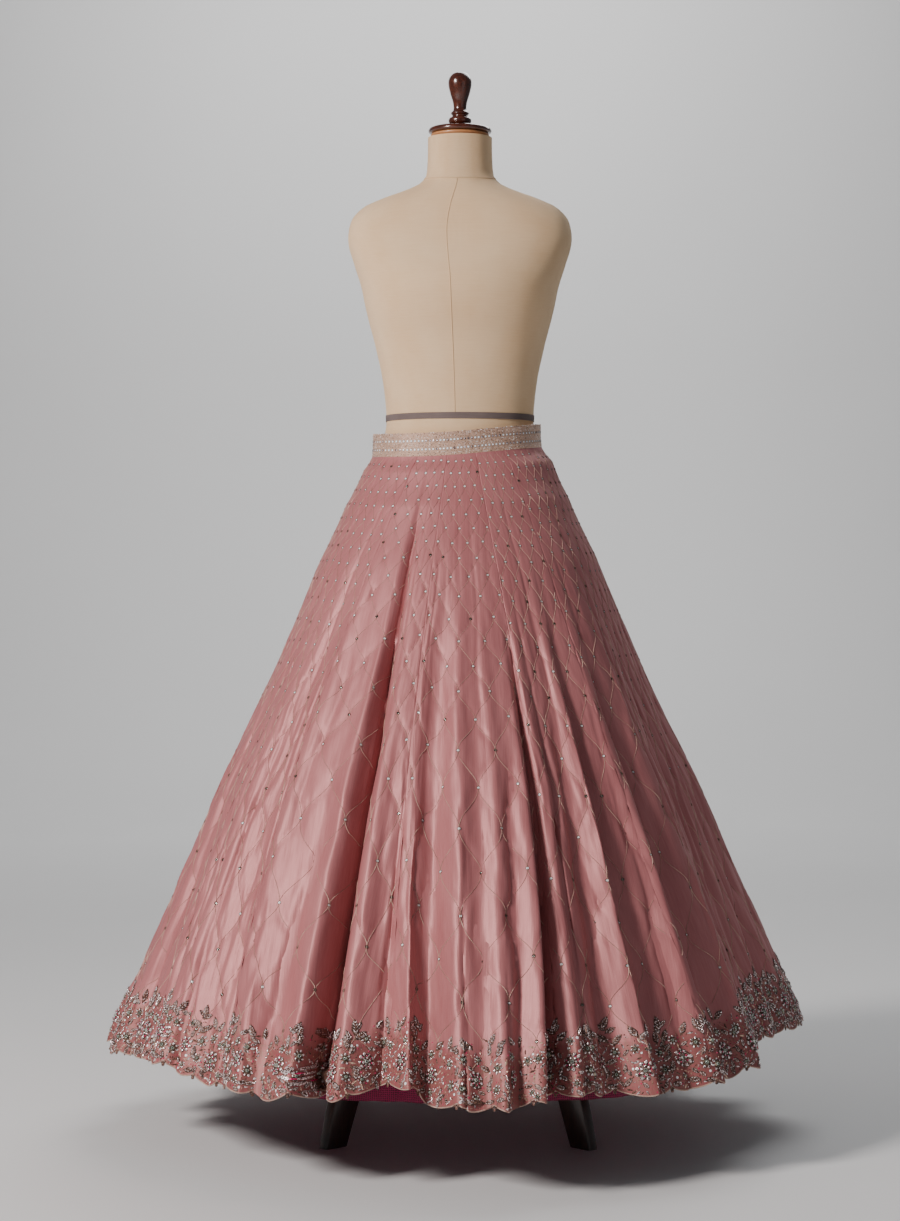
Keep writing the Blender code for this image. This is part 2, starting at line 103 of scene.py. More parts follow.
# Steps for measuring a surface's slopes.
PROBE_COLUMN = 0.05
PROBE_HEIGHT = 0.001

# The waistband, its seed beads and its ringed mirrors.
BAND_TOP = 1.138
BAND_TALL = 0.0375
BAND_TILT_SIDE = 0.008
BAND_TILT_FRONT = -0.009
BAND_THICK = 0.0022
BAND_GIRTH = 0.77
BAND_ROWS = 7
BAND_PROUD = 0.0002
BEAD_PITCH = 0.0027
BEAD_SIZE = 0.00125
BEAD_STRAY = 0.3
BEAD_RISE = 0.022
MIRROR_PITCH = 0.0068
MIRROR_RING = 0.0026
MIRROR_SHARE = 0.70
MIRROR_PROUD = 0.0003
# The share of band mirrors painted as glints; the rest take the silver beads' finish.
MIRROR_GLINT_SHARE = 0.65

# The lattice: its mirror dots, its threads and how they pull the cloth in.
LATTICE_ACROSS = 4
LATTICE_SHIFT = 0.25
LATTICE_START = 0.002
LATTICE_END = 0.955
DOT_END = 0.945
DOT_SIZE = 0.0028
DOT_GROWTH = 0.0006
# The share of lattice mirrors painted as glints at the waistband, and how much it falls by the hem; the
# rest are painted as dark reflections.
DOT_GLINT_SHARE = 0.95
DOT_GLINT_LOSS = 0.55
DOT_MIRROR = 0.80
THREAD_WIDTH = 0.0012
THREAD_TALL = 0.0008
THREAD_SINK = 0.0002
THREAD_BOLD = 0.65
THREAD_GROWTH = 0.55
THREAD_GAP = 0.1
THREAD_STEPS = 6
LONG_ROW = 9
LONG_STEPS = 10
PUCKER_DEPTH = 0.0015
PUCKER_WIDTH = 0.12
PUCKER_UNEVEN = 0.7
PUCKER_LEAST = 0.08

# The embroidered hem: how its motifs and fills vary, and the cord along its edge.
MOTIF_STRAY = 0.2
MOTIF_RISE = (-0.003, 0.004)
MOTIF_SIZES = (0.88, 1.08)
MOTIF_TURN = 30.0
FILL_RISE = 0.004
FILL_CROWDING = 1.15
FILL_THINNING = 4
FILL_SIZES = (0.8, 1.15)
CORD_STEP = 0.4
CORD_LIFT = 0.0006
CORD_SINK = 0.0004
CORD_RADIUS = 0.0011
CORD_SIDES = 6

# The net underskirt.
NET_THICK = 0.0009
NET_TUCK = 0.012
NET_WAVE = 0.007
NET_FRILL = 0.0022
NET_FRILLS = 61
NET_FRILL_SWAY = 1.3
NET_FRILL_SWAYS = 5
NET_ROWS = 44
NET_FLAT_RADIUS = 0.48
NET_FLAT_STRETCH = 1.12

# The dress form, its seams and its tape.
FORM_COLUMNS = 96
FORM_ROWS = 110
FORM_FLAT_RADIUS = 0.15
FORM_CAP_MAPS = ((0.0, 1.6), (0.0, 0.9))
NECK_SEAM = 1.548
NECK_SEAM_DIP = 0.006
NECK_SEAM_RADIUS = 0.0009
FRONT_SEAM_ANGLE = -4.0
FRONT_SEAM_RADIUS = 0.0008
FRONT_SEAM_ROWS = 60
TAPE_HEIGHT = 1.155
TAPE_TALL = 0.010
TAPE_WALL = 0.0010
TAPE_GAP = 0.0003
TAPE_FLAT_RADIUS = 0.105
TAPE_ROWS = (0.5, 0.2, -0.2, -0.5)

# The stand.
TURNED_SIDES = 56
POLE_RADIUS = 0.016
HUB_RADIUS = 0.034
HUB_BOTTOM = 0.160
HUB_TOP = 0.262
LEG_ANGLES = (-46.0, 44.0, 134.0, 224.0)
LEG_THICK = 0.019
LEG_ROUNDING = 0.0035
LEG_STEPS = 6
LEG_SIDES = 12

# The camera, the light and the floor.
CAMERA_ASIDE = -0.0164
CAMERA_BACK = 4.38
CAMERA_HEIGHT = 0.841
SENSOR = 36.0
LENS = 78.8
LIT_HEIGHT = 0.75
WORLD_COLOR = (0.88, 0.94, 1.0, 1.0)
WORLD_STRENGTH = 0.125
FLOOR_HALF = 9.0
FLOOR_BACK = 6.0
FLOOR_BEND = 2.0
FLOOR_TOP = 7.0
FLOOR_ROWS = 24
BEND_ROWS = 13
WALL_ROWS = 6
FLOOR_COLUMNS = 19

# ---------------------------------------------------------------- tables


def table(name, columns, *rows):
    """Rows of values as named tuples, so that each column has its name."""
    row = namedtuple(name, columns)
    return tuple(row(*values) for values in rows)


# Half widths of the skirt's outer face at each level, folds apart.
SKIRT = table(
    "Section", "height left right front back",
    (1.150, 0.1425, 0.1320, 0.0990, 0.1005),
    (1.100, 0.1440, 0.1340, 0.1010, 0.1030),
    (1.078, 0.1580, 0.1510, 0.1160, 0.1180),
    (1.020, 0.1870, 0.1775, 0.1500, 0.1500),
    (0.920, 0.2330, 0.2240, 0.2060, 0.2020),
    (0.810, 0.2780, 0.2700, 0.2610, 0.2550),
    (0.690, 0.3320, 0.3220, 0.3200, 0.3120),
    (0.560, 0.3930, 0.3870, 0.3830, 0.3750),
    (0.410, 0.4540, 0.4520, 0.4510, 0.4430),
    (0.260, 0.5160, 0.5200, 0.5190, 0.5110),
    (0.125, 0.5690, 0.5680, 0.5770, 0.5680),
)

# Each main fold is a valley and the crest after it, as columns. The leans are the degrees that a
# line has turned half way up. Depth and rise are at the hem, the lifts raise the hem there, and top
# is where the fold starts.
FOLDS = table(
    "Fold", "valley valley_lean depth valley_lift crest crest_lean rise crest_lift top",
    (5, -0.9, 0.030, 0.000, 9, -0.2, 0.035, 0.004, 0.90),
    (11, 1.0, -0.015, 0.000, 13, 2.0, 0.042, 0.003, 0.84),
    (15, 3.0, -0.020, 0.004, 17, 3.8, 0.035, 0.012, 0.80),
    (19, 4.0, 0.026, 0.008, 22, 2.0, 0.006, 0.015, 0.86),
    (28, 1.4, 0.036, 0.005, 32, 0.5, 0.008, 0.005, 0.88),
    (35, 0.4, 0.032, 0.000, 41, 0.0, 0.006, 0.010, 0.92),
    (46, 0.2, 0.024, 0.009, 49, 2.0, -0.002, 0.018, 0.84),
    (61, 0.0, 0.052, 0.036, 85, -2.0, 0.014, 0.034, 0.95),
    (92, -1.0, 0.036, 0.010, 100, -1.0, 0.010, 0.006, 0.86),
    (107, -1.0, 0.048, 0.000, 116, -0.5, 0.014, 0.004, 0.96),
    (123, 0.5, 0.034, 0.008, 130, -0.5, 0.016, 0.010, 0.82),
    (136, 0.5, 0.026, 0.000, 143, -1.0, 0.018, 0.000, 0.88),
    (149, -1.0, 0.044, 0.000, 156, -1.5, 0.010, 0.012, 0.98),
    (163, -1.0, 0.030, 0.012, 171, -1.0, 0.016, 0.000, 0.84),
    (179, -0.5, 0.050, 0.000, 186, -1.5, 0.006, 0.010, 0.94),
    (193, -1.0, 0.030, 0.000, 201, -1.0, 0.010, 0.000, 0.86),
    (209, -1.0, 0.024, 0.000, 218, -2.0, 0.010, 0.006, 0.84),
    (223, -1.5, 0.018, 0.008, 229, -1.5, 0.008, 0.008, 0.80),
    (238, -2.5, 0.014, 0.016, 246, -4.5, 0.008, 0.024, 0.80),
    (255, -6.5, 0.034, 0.000, 262, -6.5, 0.020, 0.010, 0.98),
    (265, -4.5, -0.008, 0.000, 268, -1.5, 0.022, 0.008, 0.76),
    (270, 0.0, 0.056, 0.000, 275, -0.8, 0.004, 0.006, 1.06),
    (279, -0.8, 0.034, 0.022, 283, -2.6, 0.010, 0.028, 0.60),
)

# Small troughs (depth above 0) and ridges (below 0) of the front half: the column at the foot, how
# many columns it moves by its top, its half width in columns, and the heights between which it
# shows. The last ones are short buckles that slant across. The back half has the like, moved half
# way round.
CREASES = table(
    "Crease", "column lean width depth top foot",
    (-57, 1.5, 1.62, 0.0079, 0.70, 0.20),
    (-52, -1, 1.08, 0.0051, 0.98, 0.35),
    (-46.5, 2, 1.76, 0.0088, 0.62, 0.13),
    (-42, -1.5, 0.94, 0.0042, 1.04, 0.52),
    (-38.5, 1, 1.22, 0.0070, 0.56, 0.13),
    (-34, -1, 1.08, 0.0056, 0.86, 0.30),
    (-30.5, 1.5, 1.49, -0.0070, 0.62, 0.13),
    (-27, 0.5, 0.94, 0.0047, 1.05, 0.55),
    (-23.5, -1, 1.22, 0.0079, 0.72, 0.13),
    (-20.5, 0.6, 0.94, -0.0051, 0.55, 0.18),
    (-17, 1, 1.08, 0.0047, 0.98, 0.46),
    (-14, 0.5, 1.08, 0.0074, 0.60, 0.13),
    (-12.2, -0.6, 0.81, -0.0042, 0.52, 0.16),
    (-8.8, 0.8, 0.81, 0.0065, 0.80, 0.13),
    (-6.6, 1.2, 0.81, 0.0042, 1.06, 0.62),
    (-3.2, 0.3, 0.81, 0.0060, 0.66, 0.22),
    (-1.2, 0.2, 0.68, -0.0042, 0.46, 0.13),
    (1.4, 0.8, 0.81, 0.0060, 0.58, 0.13),
    (3.1, -0.4, 0.68, 0.0037, 0.95, 0.50),
    (7.1, 0.2, 0.68, 0.0051, 0.52, 0.13),
    (8.4, 0.3, 0.54, 0.0060, 0.46, 0.17),
    (9.7, -0.2, 0.54, 0.0056, 0.42, 0.20),
    (12.2, 0.3, 0.68, 0.0047, 1.00, 0.44),
    (13.6, -0.3, 0.54, 0.0047, 0.50, 0.15),
    (16.2, 0.3, 0.68, -0.0037, 0.60, 0.13),
    (17.6, 0.2, 0.54, 0.0051, 0.56, 0.13),
    (21.2, 1, 0.81, 0.0056, 0.68, 0.13),
    (23.4, 1.2, 0.81, 0.0074, 0.90, 0.26),
    (25.6, 0.6, 0.81, -0.0047, 0.60, 0.13),
    (29.6, -0.8, 0.94, 0.0051, 1.05, 0.52),
    (31.4, 1, 0.81, 0.0065, 0.60, 0.13),
    (33.4, 0.6, 0.81, 0.0047, 0.82, 0.30),
    (37.6, 1.4, 1.08, 0.0070, 0.70, 0.13),
    (39.8, 0.9, 0.94, -0.0051, 0.55, 0.13),
    (43.2, 1, 1.08, 0.0056, 0.96, 0.38),
    (48, 1.5, 1.22, 0.0079, 0.64, 0.13),
    (51.6, 0.8, 1.08, 0.0047, 1.02, 0.50),
    (55, 1, 1.35, 0.0074, 0.66, 0.13),
    (59, -0.8, 1.08, -0.0060, 0.54, 0.16),
    (64, 1, 1.49, 0.0070, 0.78, 0.20),
    (69, 0.6, 1.22, 0.0056, 0.60, 0.13),
    (74.5, -1, 1.62, 0.0070, 0.90, 0.30),
    (79, 1, 1.22, 0.0056, 0.58, 0.13),
    (-10.8, -0.3, 0.9, -0.0200, 0.95, 0.12),
    (24, -1.8, 0.45, 0.0030, 0.60, 0.50),
    (27.5, -2.4, 0.5, -0.0026, 0.56, 0.45),
    (30, -2, 0.45, 0.0034, 0.49, 0.38),
    (34.5, -2.6, 0.55, 0.0030, 0.68, 0.56),
    (36, -2.2, 0.5, -0.0028, 0.44, 0.33),
    (40.5, -2.8, 0.55, 0.0036, 0.57, 0.44),
    (44, -2.4, 0.6, 0.0030, 0.40, 0.29),
    (46.5, -3, 0.6, -0.0030, 0.66, 0.53),
    (52.5, -3.2, 0.7, 0.0036, 0.54, 0.40),
    (57, -3, 0.7, 0.0030, 0.72, 0.58),
    (62, -3.4, 0.8, 0.0034, 0.46, 0.32),
    (67, -3, 0.8, -0.0030, 0.60, 0.46),
    (-14.5, 1.6, 0.45, 0.0028, 0.55, 0.45),
    (-19, 2, 0.5, 0.0032, 0.44, 0.33),
    (-22, 1.8, 0.5, -0.0026, 0.62, 0.52),
    (-26.5, 2.6, 0.6, 0.0036, 0.50, 0.38),
    (-31, 2.4, 0.6, 0.0030, 0.38, 0.28),
    (-35.5, 2.8, 0.7, -0.0030, 0.56, 0.44),
    (-40, 2.6, 0.7, 0.0034, 0.45, 0.33),
    (-45, 3, 0.8, 0.0030, 0.60, 0.47),
    (2.5, -0.8, 0.4, 0.0026, 0.42, 0.33),
    (6.5, -1.2, 0.4, 0.0028, 0.34, 0.25),
    (10.5, 1, 0.4, -0.0024, 0.38, 0.29),
    (14.5, -1.4, 0.45, 0.0030, 0.46, 0.36),
    (19, -1.6, 0.45, 0.0028, 0.36, 0.26),
)

# Tucks of the front half, where the cloth on the left laps over: the column at the foot, how many
# columns it moves by its top, its half width in columns, its depth and the height it starts at.
TUCKS = table(
    "Tuck", "column lean width depth top",
    (-47.0, 1.0, 1.8, 0.010, 0.72),
    (-38.5, 1.0, 1.6, 0.012, 0.66),
    (-31.0, 1.4, 1.5, 0.012, 0.74),
    (-23.2, 1.0, 1.4, 0.014, 0.78),
    (-15.6, 2.4, 1.2, 0.012, 0.60),
    (-8.7, -1.2, 1.0, 0.034, 0.98),
    (-1.2, 0.4, 0.9, 0.011, 0.62),
    (3.2, 0.6, 1.3, 0.016, 0.82),
    (9.0, 0.1, 0.8, 0.009, 0.56),
    (14.6, 0.4, 0.9, 0.010, 0.64),
    (18.4, 0.8, 1.1, 0.018, 0.80),
    (22.6, 2.0, 1.3, 0.014, 0.74),
    (26.5, 1.2, 1.1, 0.011, 0.66),
    (32.2, 1.6, 1.4, 0.022, 0.82),
    (38.0, 1.2, 1.2, 0.010, 0.60),
    (42.4, 1.6, 1.7, 0.018, 0.76),
    (51.0, 1.6, 1.7, 0.015, 0.76),
    (60.0, 1.2, 1.9, 0.014, 0.72),
    (70.0, 1.0, 1.9, 0.012, 0.68),
)

# Crests that lap over the valley on their right: the crest's column, how many columns it moves by
# at the hem, how many columns right of it that shows, and the height it starts at.
LAPS = table(
    "Lap", "column shift reach top",
    (-35.0, 0.9, 1.2, 0.70),
    (-18.0, 0.9, 1.1, 0.72),
    (-11.3, 1.7, 1.2, 1.00),
    (2.5, 0.9, 0.9, 0.78),
    (8.8, 0.7, 0.7, 0.62),
    (13.0, 0.7, 0.7, 0.66),
    (17.0, 0.9, 0.8, 0.80),
    (23.5, 1.0, 1.0, 0.76),
    (31.0, 1.3, 1.1, 0.84),
    (41.0, 1.5, 1.3, 0.86),
    (50.0, 1.2, 1.2, 0.76),
    (86.0, 1.2, 1.3, 0.80),
    (101.0, 1.0, 1.1, 0.74),
    (117.0, 1.4, 1.3, 0.90),
    (131.0, 1.0, 1.0, 0.76),
    (144.0, 1.2, 1.1, 0.82),
    (157.0, 1.4, 1.3, 0.90),
    (172.0, 1.0, 1.1, 0.78),
    (187.0, 1.3, 1.2, 0.86),
    (202.0, 1.1, 1.1, 0.80),
    (219.0, 1.0, 1.1, 0.76),
)

# How creases wander sideways and ripples drift: waves over columns and over the way down.
WANDERS = table("Sway", "down across size", (17.0, 0.61, 1.0), (31.0, -0.27, 0.6))
DRIFTS = table("Sway", "down across size", (19.0, 0.23, 1.0), (-31.0, 0.11, 1.0))

# Soft waves of the cloth: waves round the skirt, waves over its height, phase, and size.
RIPPLES = table(
    "Ripple", "around down phase size",
    (37, 1.3, 0.4, 0.0020),
    (61, -1.7, 1.9, 0.0019),
    (89, 2.3, 4.1, 0.0014),
    (127, -3.1, 2.6, 0.0008),
    (173, 4.4, 5.3, 0.0004),
)

# Rows of mirror dots, as shares of the way from the waistband to the hem.
DOT_ROWS = (
    0.012, 0.033, 0.056, 0.080, 0.104, 0.128, 0.152, 0.178, 0.208, 0.241, 0.277, 0.314, 0.353,
    0.394, 0.437, 0.486, 0.542, 0.605, 0.670, 0.735, 0.799, 0.860, 0.921,
)

# Rows of seed beads and of mirrors, as shares of the way down the waistband.
BAND_BEAD_ROWS = (0.03, 0.095, 0.16, 0.225, 0.46, 0.525, 0.59, 0.83, 0.90, 0.965)
BAND_MIRROR_ROWS = (0.34, 0.71)
# Some of the seed beads take the painted glint finish.
BAND_FINISHES = ("silver_beads", "beige_beads", "bronze_beads", "mirror_bright")
BAND_FINISH_SHARES = (0.26, 0.40, 0.18, 0.16)

# How far each kali's rows of dots lie below the next kali's, as a share of a row.
ROW_SLIPS = (0.00, 0.34, -0.12, 0.22, 0.46, 0.08, -0.20, 0.30, 0.12, -0.26, 0.40, 0.05, 0.25, -0.15)

# The net underskirt's levels: how far it stands inside the skirt, and the share of its waves.
NET = table(
    "NetRow", "height inset wave",
    (BAND_TOP - BAND_TALL + NET_TUCK, 0.0030, 0.00),
    (BAND_TOP - BAND_TALL, 0.0032, 0.00),
    (1.074, 0.0045, 0.00),
    (0.920, 0.0260, 0.15),
    (0.620, 0.0570, 0.50),
    (0.340, 0.0830, 0.80),
    (0.121, 0.0960, 1.00),
)

# Half widths of the dress form from the neck down, and the power that squares its section.
FORM = table(
    "FormRow", "height side front back power",
    (1.6150, 0.0525, 0.0500, 0.0550, 1.00),
    (1.5800, 0.0530, 0.0500, 0.0560, 1.00),
    (1.5510, 0.0560, 0.0520, 0.0600, 1.00),
    (1.5380, 0.0680, 0.0550, 0.0640, 0.98),
    (1.5280, 0.0900, 0.0580, 0.0680, 0.95),
    (1.5160, 0.1240, 0.0620, 0.0730, 0.92),
    (1.5020, 0.1560, 0.0670, 0.0780, 0.88),
    (1.4840, 0.1750, 0.0740, 0.0840, 0.84),
    (1.4630, 0.1820, 0.0810, 0.0890, 0.80),
    (1.4400, 0.1825, 0.0890, 0.0920, 0.80),
    (1.4120, 0.1745, 0.1010, 0.0930, 0.82),
    (1.3720, 0.1620, 0.1160, 0.0920, 0.86),
    (1.3300, 0.1530, 0.1120, 0.0890, 0.88),
    (1.2800, 0.1400, 0.0970, 0.0860, 0.91),
    (1.2200, 0.1270, 0.0890, 0.0830, 0.95),
    (1.1550, 0.1205, 0.0860, 0.0810, 1.00),
    (1.1300, 0.1230, 0.0885, 0.0860, 1.00),
    (1.1100, 0.1275, 0.0910, 0.0910, 1.00),
    (1.0900, 0.1350, 0.0940, 0.0980, 1.00),
    (1.0500, 0.1490, 0.1020, 0.1090, 1.00),
    (1.0000, 0.1620, 0.1090, 0.1190, 1.00),
    (0.9500, 0.1690, 0.1140, 0.1260, 1.00),
    (0.9000, 0.1710, 0.1160, 0.1270, 1.00),
    (0.8620, 0.1690, 0.1150, 0.1240, 1.00),
    (0.8500, 0.1620, 0.1090, 0.1170, 1.00),
)

# Turned profiles from the bottom up, as pairs of radius and height.
NECK_RING = ((0.0440, 1.6153), (0.0475, 1.6175), (0.0475, 1.6205), (0.0450, 1.6222))
NECK_CAP = (
    (0.0490, 1.6225), (0.0514, 1.6245), (0.0514, 1.6275), (0.0480, 1.6310), (0.0330, 1.6340),
    (0.0180, 1.6352),
)
FINIAL = (
    (0.0120, 1.6355), (0.0180, 1.6400), (0.0180, 1.6465), (0.0125, 1.6510), (0.0150, 1.6555),
    (0.0115, 1.6600), (0.0105, 1.6650), (0.0120, 1.6750), (0.0160, 1.6880), (0.0190, 1.7020),
    (0.0180, 1.7120), (0.0120, 1.7200), (0.0040, 1.7228),
)
HUB = (
    (0.0220, HUB_BOTTOM), (HUB_RADIUS, HUB_BOTTOM + 0.008), (HUB_RADIUS, HUB_TOP - 0.014),
    (0.0240, HUB_TOP),
)
POLE = ((POLE_RADIUS, HUB_TOP + 0.0003), (POLE_RADIUS, 0.60), (POLE_RADIUS, 0.8497))

# The turned pieces, and how many steps each makes between two points of its profile.
TURNED = table(
    "Turned", "name profile material slot replaced steps",
    ("neck_ring_wood", NECK_RING, "pale_wood_grain", "pale_wood", "neck_ring", 4),
    ("neck_cap_wood", NECK_CAP, "mahogany_gloss", "mahogany", "neck_cap", 4),
    ("finial_wood", FINIAL, "mahogany_gloss", "mahogany", "finial", 6),
    ("hub_wood", HUB, "dark_wood_grain", "dark_wood", "stand_hub", 4),
    ("pole_wood", POLE, "dark_wood_grain", "dark_wood", "stand_pole", 4),
)

# Middle line of a leg's board, from the hub out to the foot: reach, height and the board's depth.
LEG = table(
    "LegRow", "reach height depth",
    (0.0343, 0.2100, 0.056),
    (0.0800, 0.2110, 0.052),
    (0.1300, 0.2040, 0.048),
    (0.1760, 0.1840, 0.047),
    (0.2150, 0.1500, 0.049),
    (0.2420, 0.1060, 0.052),
    (0.2600, 0.0580, 0.050),
    (0.2720, 0.0200, 0.045),
    (0.2780, 0.0000, 0.042),
)

# One repeat of the hem's embroidery, two scallops wide: what it is, its place in columns from the
# repeat's middle, its height above the notches and its size, and its turn in degrees.
MOTIFS = table(
    "Motif", "kind column height size turn",
    ("rose", -2.3, 0.028, 0.0168, 10.0),
    ("rose", 1.6, 0.035, 0.0148, -20.0),
    ("flower", -0.40, 0.049, 0.0098, 0.0),
    ("flower", -3.75, 0.051, 0.0088, 15.0),
    ("flower", 3.3, 0.054, 0.0094, 30.0),
    ("flower", -0.35, 0.021, 0.0090, 0.0),
    ("flower", 3.45, 0.021, 0.0100, 40.0),
    ("flower", -2.1, 0.058, 0.0082, 20.0),
    ("flower", 1.5, 0.008, 0.0070, 20.0),
    ("flower", 1.4, 0.062, 0.0076, 50.0),
    ("flower", -3.9, 0.006, 0.0066, 70.0),
    ("leaf", -0.55, 0.068, 0.0115, 34.0),
    ("leaf", 0.45, 0.070, 0.0110, -34.0),
    ("leaf", 0.0, 0.087, 0.0125, 4.0),
    ("leaf", 0.42, 0.084, 0.0085, -46.0),
    ("leaf", -0.40, 0.082, 0.0090, 50.0),
    ("leaf", -2.9, 0.075, 0.0110, 32.0),
    ("leaf", -2.1, 0.080, 0.0115, -12.0),
    ("leaf", 2.4, 0.073, 0.0105, -40.0),
    ("leaf", 3.5, 0.078, 0.0115, 10.0),
    ("leaf", 3.9, 0.071, 0.0085, -50.0),
    ("leaf", -1.15, 0.010, 0.0100, 60.0),
    ("leaf", 0.5, 0.004, 0.0095, 74.0),
    ("leaf", 2.6, 0.005, 0.0095, -78.0),
    ("leaf", 0.55, 0.024, 0.0095, 10.0),
)

# What fills the gaps between the motifs, in this order: size, half the room it needs, how many are
# tried, and the height above the notches that they thin out at.
FILLS = table(
    "Fill", "kind size room tries limit",
    ("leaf", 0.0080, 0.0040, 2600, 0.066),
    ("petal", 0.0056, 0.0027, 7000, 0.074),
    ("sequin", 0.0020, 0.0026, 1400, 0.074),
    ("grain", 0.0027, 0.0018, 11000, 0.072),
    ("bead", 0.0014, 0.0013, 12000, 0.078),
)

# The leaves at each notch: columns aside, turn in degrees, size, and how far below it they start.
NOTCH_LEAVES = table(
    "NotchLeaf", "aside turn size low",
    (0.0, 180.0, 0.0066, 0.0020), (-0.24, 222.0, 0.0054, 0.0), (0.24, 138.0, 0.0054, 0.0),
)

# Beads, stones, mirrors and threads: colours of their light and dark ones.
Finish = namedtuple("Finish", "color shade roughness metallic")
FINISHES = {
    # Silver beads: an antique tone that varies from bead to bead, whose light and dark ones also paint
    # glints and dark reflections.
    "silver_beads": Finish((0.98, 0.86, 0.86), (0.12, 0.070, 0.060), 0.20, 0.40),
    "gold_beads": Finish((0.46, 0.37, 0.26), (0.15, 0.11, 0.08), 0.28, 0.60),
    "bronze_beads": Finish((0.21, 0.105, 0.075), (0.06, 0.028, 0.022), 0.36, 0.20),
    "beige_beads": Finish((0.76, 0.54, 0.41), (0.38, 0.22, 0.16), 0.28, 0.25),
    "magenta_beads": Finish((0.80, 0.02, 0.16), (0.34, 0.00, 0.07), 0.16, 0.05),
    "mint_stones": Finish((0.60, 0.67, 0.59), (0.34, 0.40, 0.35), 0.14, 0.0),
    # Painted reflections: the mirrors' two finishes paint a white glint and a dark reflection.
    "mirror_bright": Finish((0.98, 0.98, 0.98), (0.88, 0.90, 0.92), 0.12, 0.0),
    "mirror_painted_dark_reflection": Finish((0.30, 0.31, 0.27), (0.04, 0.04, 0.04), 0.12, 0.85),
    "couched_thread": Finish((0.60, 0.40, 0.31), (0.30, 0.15, 0.12), 0.50, 0.10),
    "beige_cord": Finish((0.56, 0.38, 0.29), (0.34, 0.20, 0.16), 0.55, 0.05),
}
THREADS = ("couched_thread", "beige_cord")

# Square lights. One without an aim faces the middle of the skirt.
LIGHTS = table(
    "Light", "name place aim size power color",
    ("key", (-3.1, -2.8, 2.9), None, 0.9, 245.0, (1.0, 0.93, 0.90)),
    ("fill", (2.6, -3.6, 1.4), None, 2.4, 5.0, (0.96, 0.97, 1.0)),
    ("top", (0.9, 1.8, 3.4), None, 2.0, 50.0, (1.0, 1.0, 1.0)),
    ("backdrop", (0.0, 5.4, 4.2), (0.0, 8.0, 1.0), 3.0, 120.0, (1.0, 1.0, 1.0)),
)

# ---------------------------------------------------------------- the skirt's surface

pole_low, pole_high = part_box("stand_pole")
AXIS = np.array([(pole_low[0] + pole_high[0]) / 2.0, (pole_low[1] + pole_high[1]) / 2.0, 0.0])
UP = np.array([0.0, 0.0, 1.0])


def polar(angle, radius, height):
    """Points at radii and angles from the front, about the form's axis."""
    turn = np.radians(angle)
    across = radius * np.sin(turn)
    return np.stack([across, -radius * np.cos(turn), height + 0.0 * across], axis=-1) + AXIS


def catmull_rom(before, start, end, after, share):
    """Values on a smooth curve from a start to an end, with the points before and after them."""
    bend = 2.0 * before - 5.0 * start + 4.0 * end - after
    twist = 3.0 * (start - end) + after - before
    return start + 0.5 * share * (end - before + share * (bend + share * twist))


def smooth_value(rows, name, height):
    """A table's column at heights, on a Catmull-Rom curve through its rows, highest row first."""
    levels = np.array([row.height for row in rows])
    values = np.array([getattr(row, name) for row in rows])
    last = len(rows) - 1
    upper = np.clip(np.searchsorted(-levels, -height, side="right") - 1, 0, last - 1)
    before = values[np.maximum(upper - 1, 0)]
    start = values[upper]
    end = values[upper + 1]
    after = values[np.minimum(upper + 2, last)]
    share = np.clip((levels[upper] - height) / (levels[upper] - levels[upper + 1]), 0.0, 1.0)
    return catmull_rom(before, start, end, after, share)


def oval_radius(angle, left, right, front, back):
    """Radii of an oval whose quarters are ellipses with these half widths."""
    turn = np.radians(angle)
    across = np.where(np.sin(turn) > 0.0, right, left)
    along = np.where(np.cos(turn) > 0.0, front, back)
    return across * along / np.hypot(along * np.sin(turn), across * np.cos(turn))


def band_tilt(angle):
    """How far the waistband's edges lie above their mean level at angles."""
    turn = np.radians(angle)
    return BAND_TILT_SIDE * np.sin(turn) + BAND_TILT_FRONT * np.cos(turn)


def skirt_base_radius(angle, height):
    """The skirt's radius without its folds, its levels tilted with the waistband near the top."""
    share = np.maximum((height - HEM_HEIGHT) / (BAND_TOP - HEM_HEIGHT), 0.0)
    level = height - band_tilt(angle) * share
    return oval_radius(angle, *(smooth_value(SKIRT, side, level) for side in SKIRT[0]._fields[1:]))


def fold_lines():
    """Each valley and crest in order, once for the round before the first seam and once after."""
    lines = []
    for fold in FOLDS:
        lines.append((fold.valley, fold.valley_lean, -fold.depth, fold.top, fold.valley_lift))
        lines.append((fold.crest, fold.crest_lean, fold.rise, fold.top, fold.crest_lift))
    once = np.array(lines, dtype=float)
    before = once.copy()
    before[:, 0] -= ROUND_COLUMNS
    return np.vstack([before, once])


FOLD_COLUMN, FOLD_LEAN, FOLD_OFFSET, FOLD_TOP, FOLD_LIFT = fold_lines().T


def fold_neighbours(column):
    """The numbers of the fold lines after columns, and the share of the way to them."""
    place = column % ROUND_COLUMNS
    upper = np.clip(np.searchsorted(FOLD_COLUMN, place), 1, len(FOLD_COLUMN) - 1)
    start, end = FOLD_COLUMN[upper - 1], FOLD_COLUMN[upper]
    return upper, (place - start) / (end - start)


def ease(start, end, share):
    """Values that leave one end and reach the other gently."""
    return start + (end - start) * (0.5 - 0.5 * np.cos(np.pi * share))


def fold_offset(column, height):
    """How far the main folds move the cloth in or out."""
    upper, share = fold_neighbours(column)
    grown = []
    for line in (upper - 1, upper):
        reach = np.maximum((FOLD_TOP[line] - height) / (FOLD_TOP[line] - HEM_HEIGHT), 0.0)
        grown.append(FOLD_OFFSET[line] * reach ** FOLD_GROWTH)
    return ease(grown[0], grown[1], share)


def fold_lift(column):
    """How far the folds raise the hem."""
    upper, share = fold_neighbours(column)
    return ease(FOLD_LIFT[upper - 1], FOLD_LIFT[upper], share)


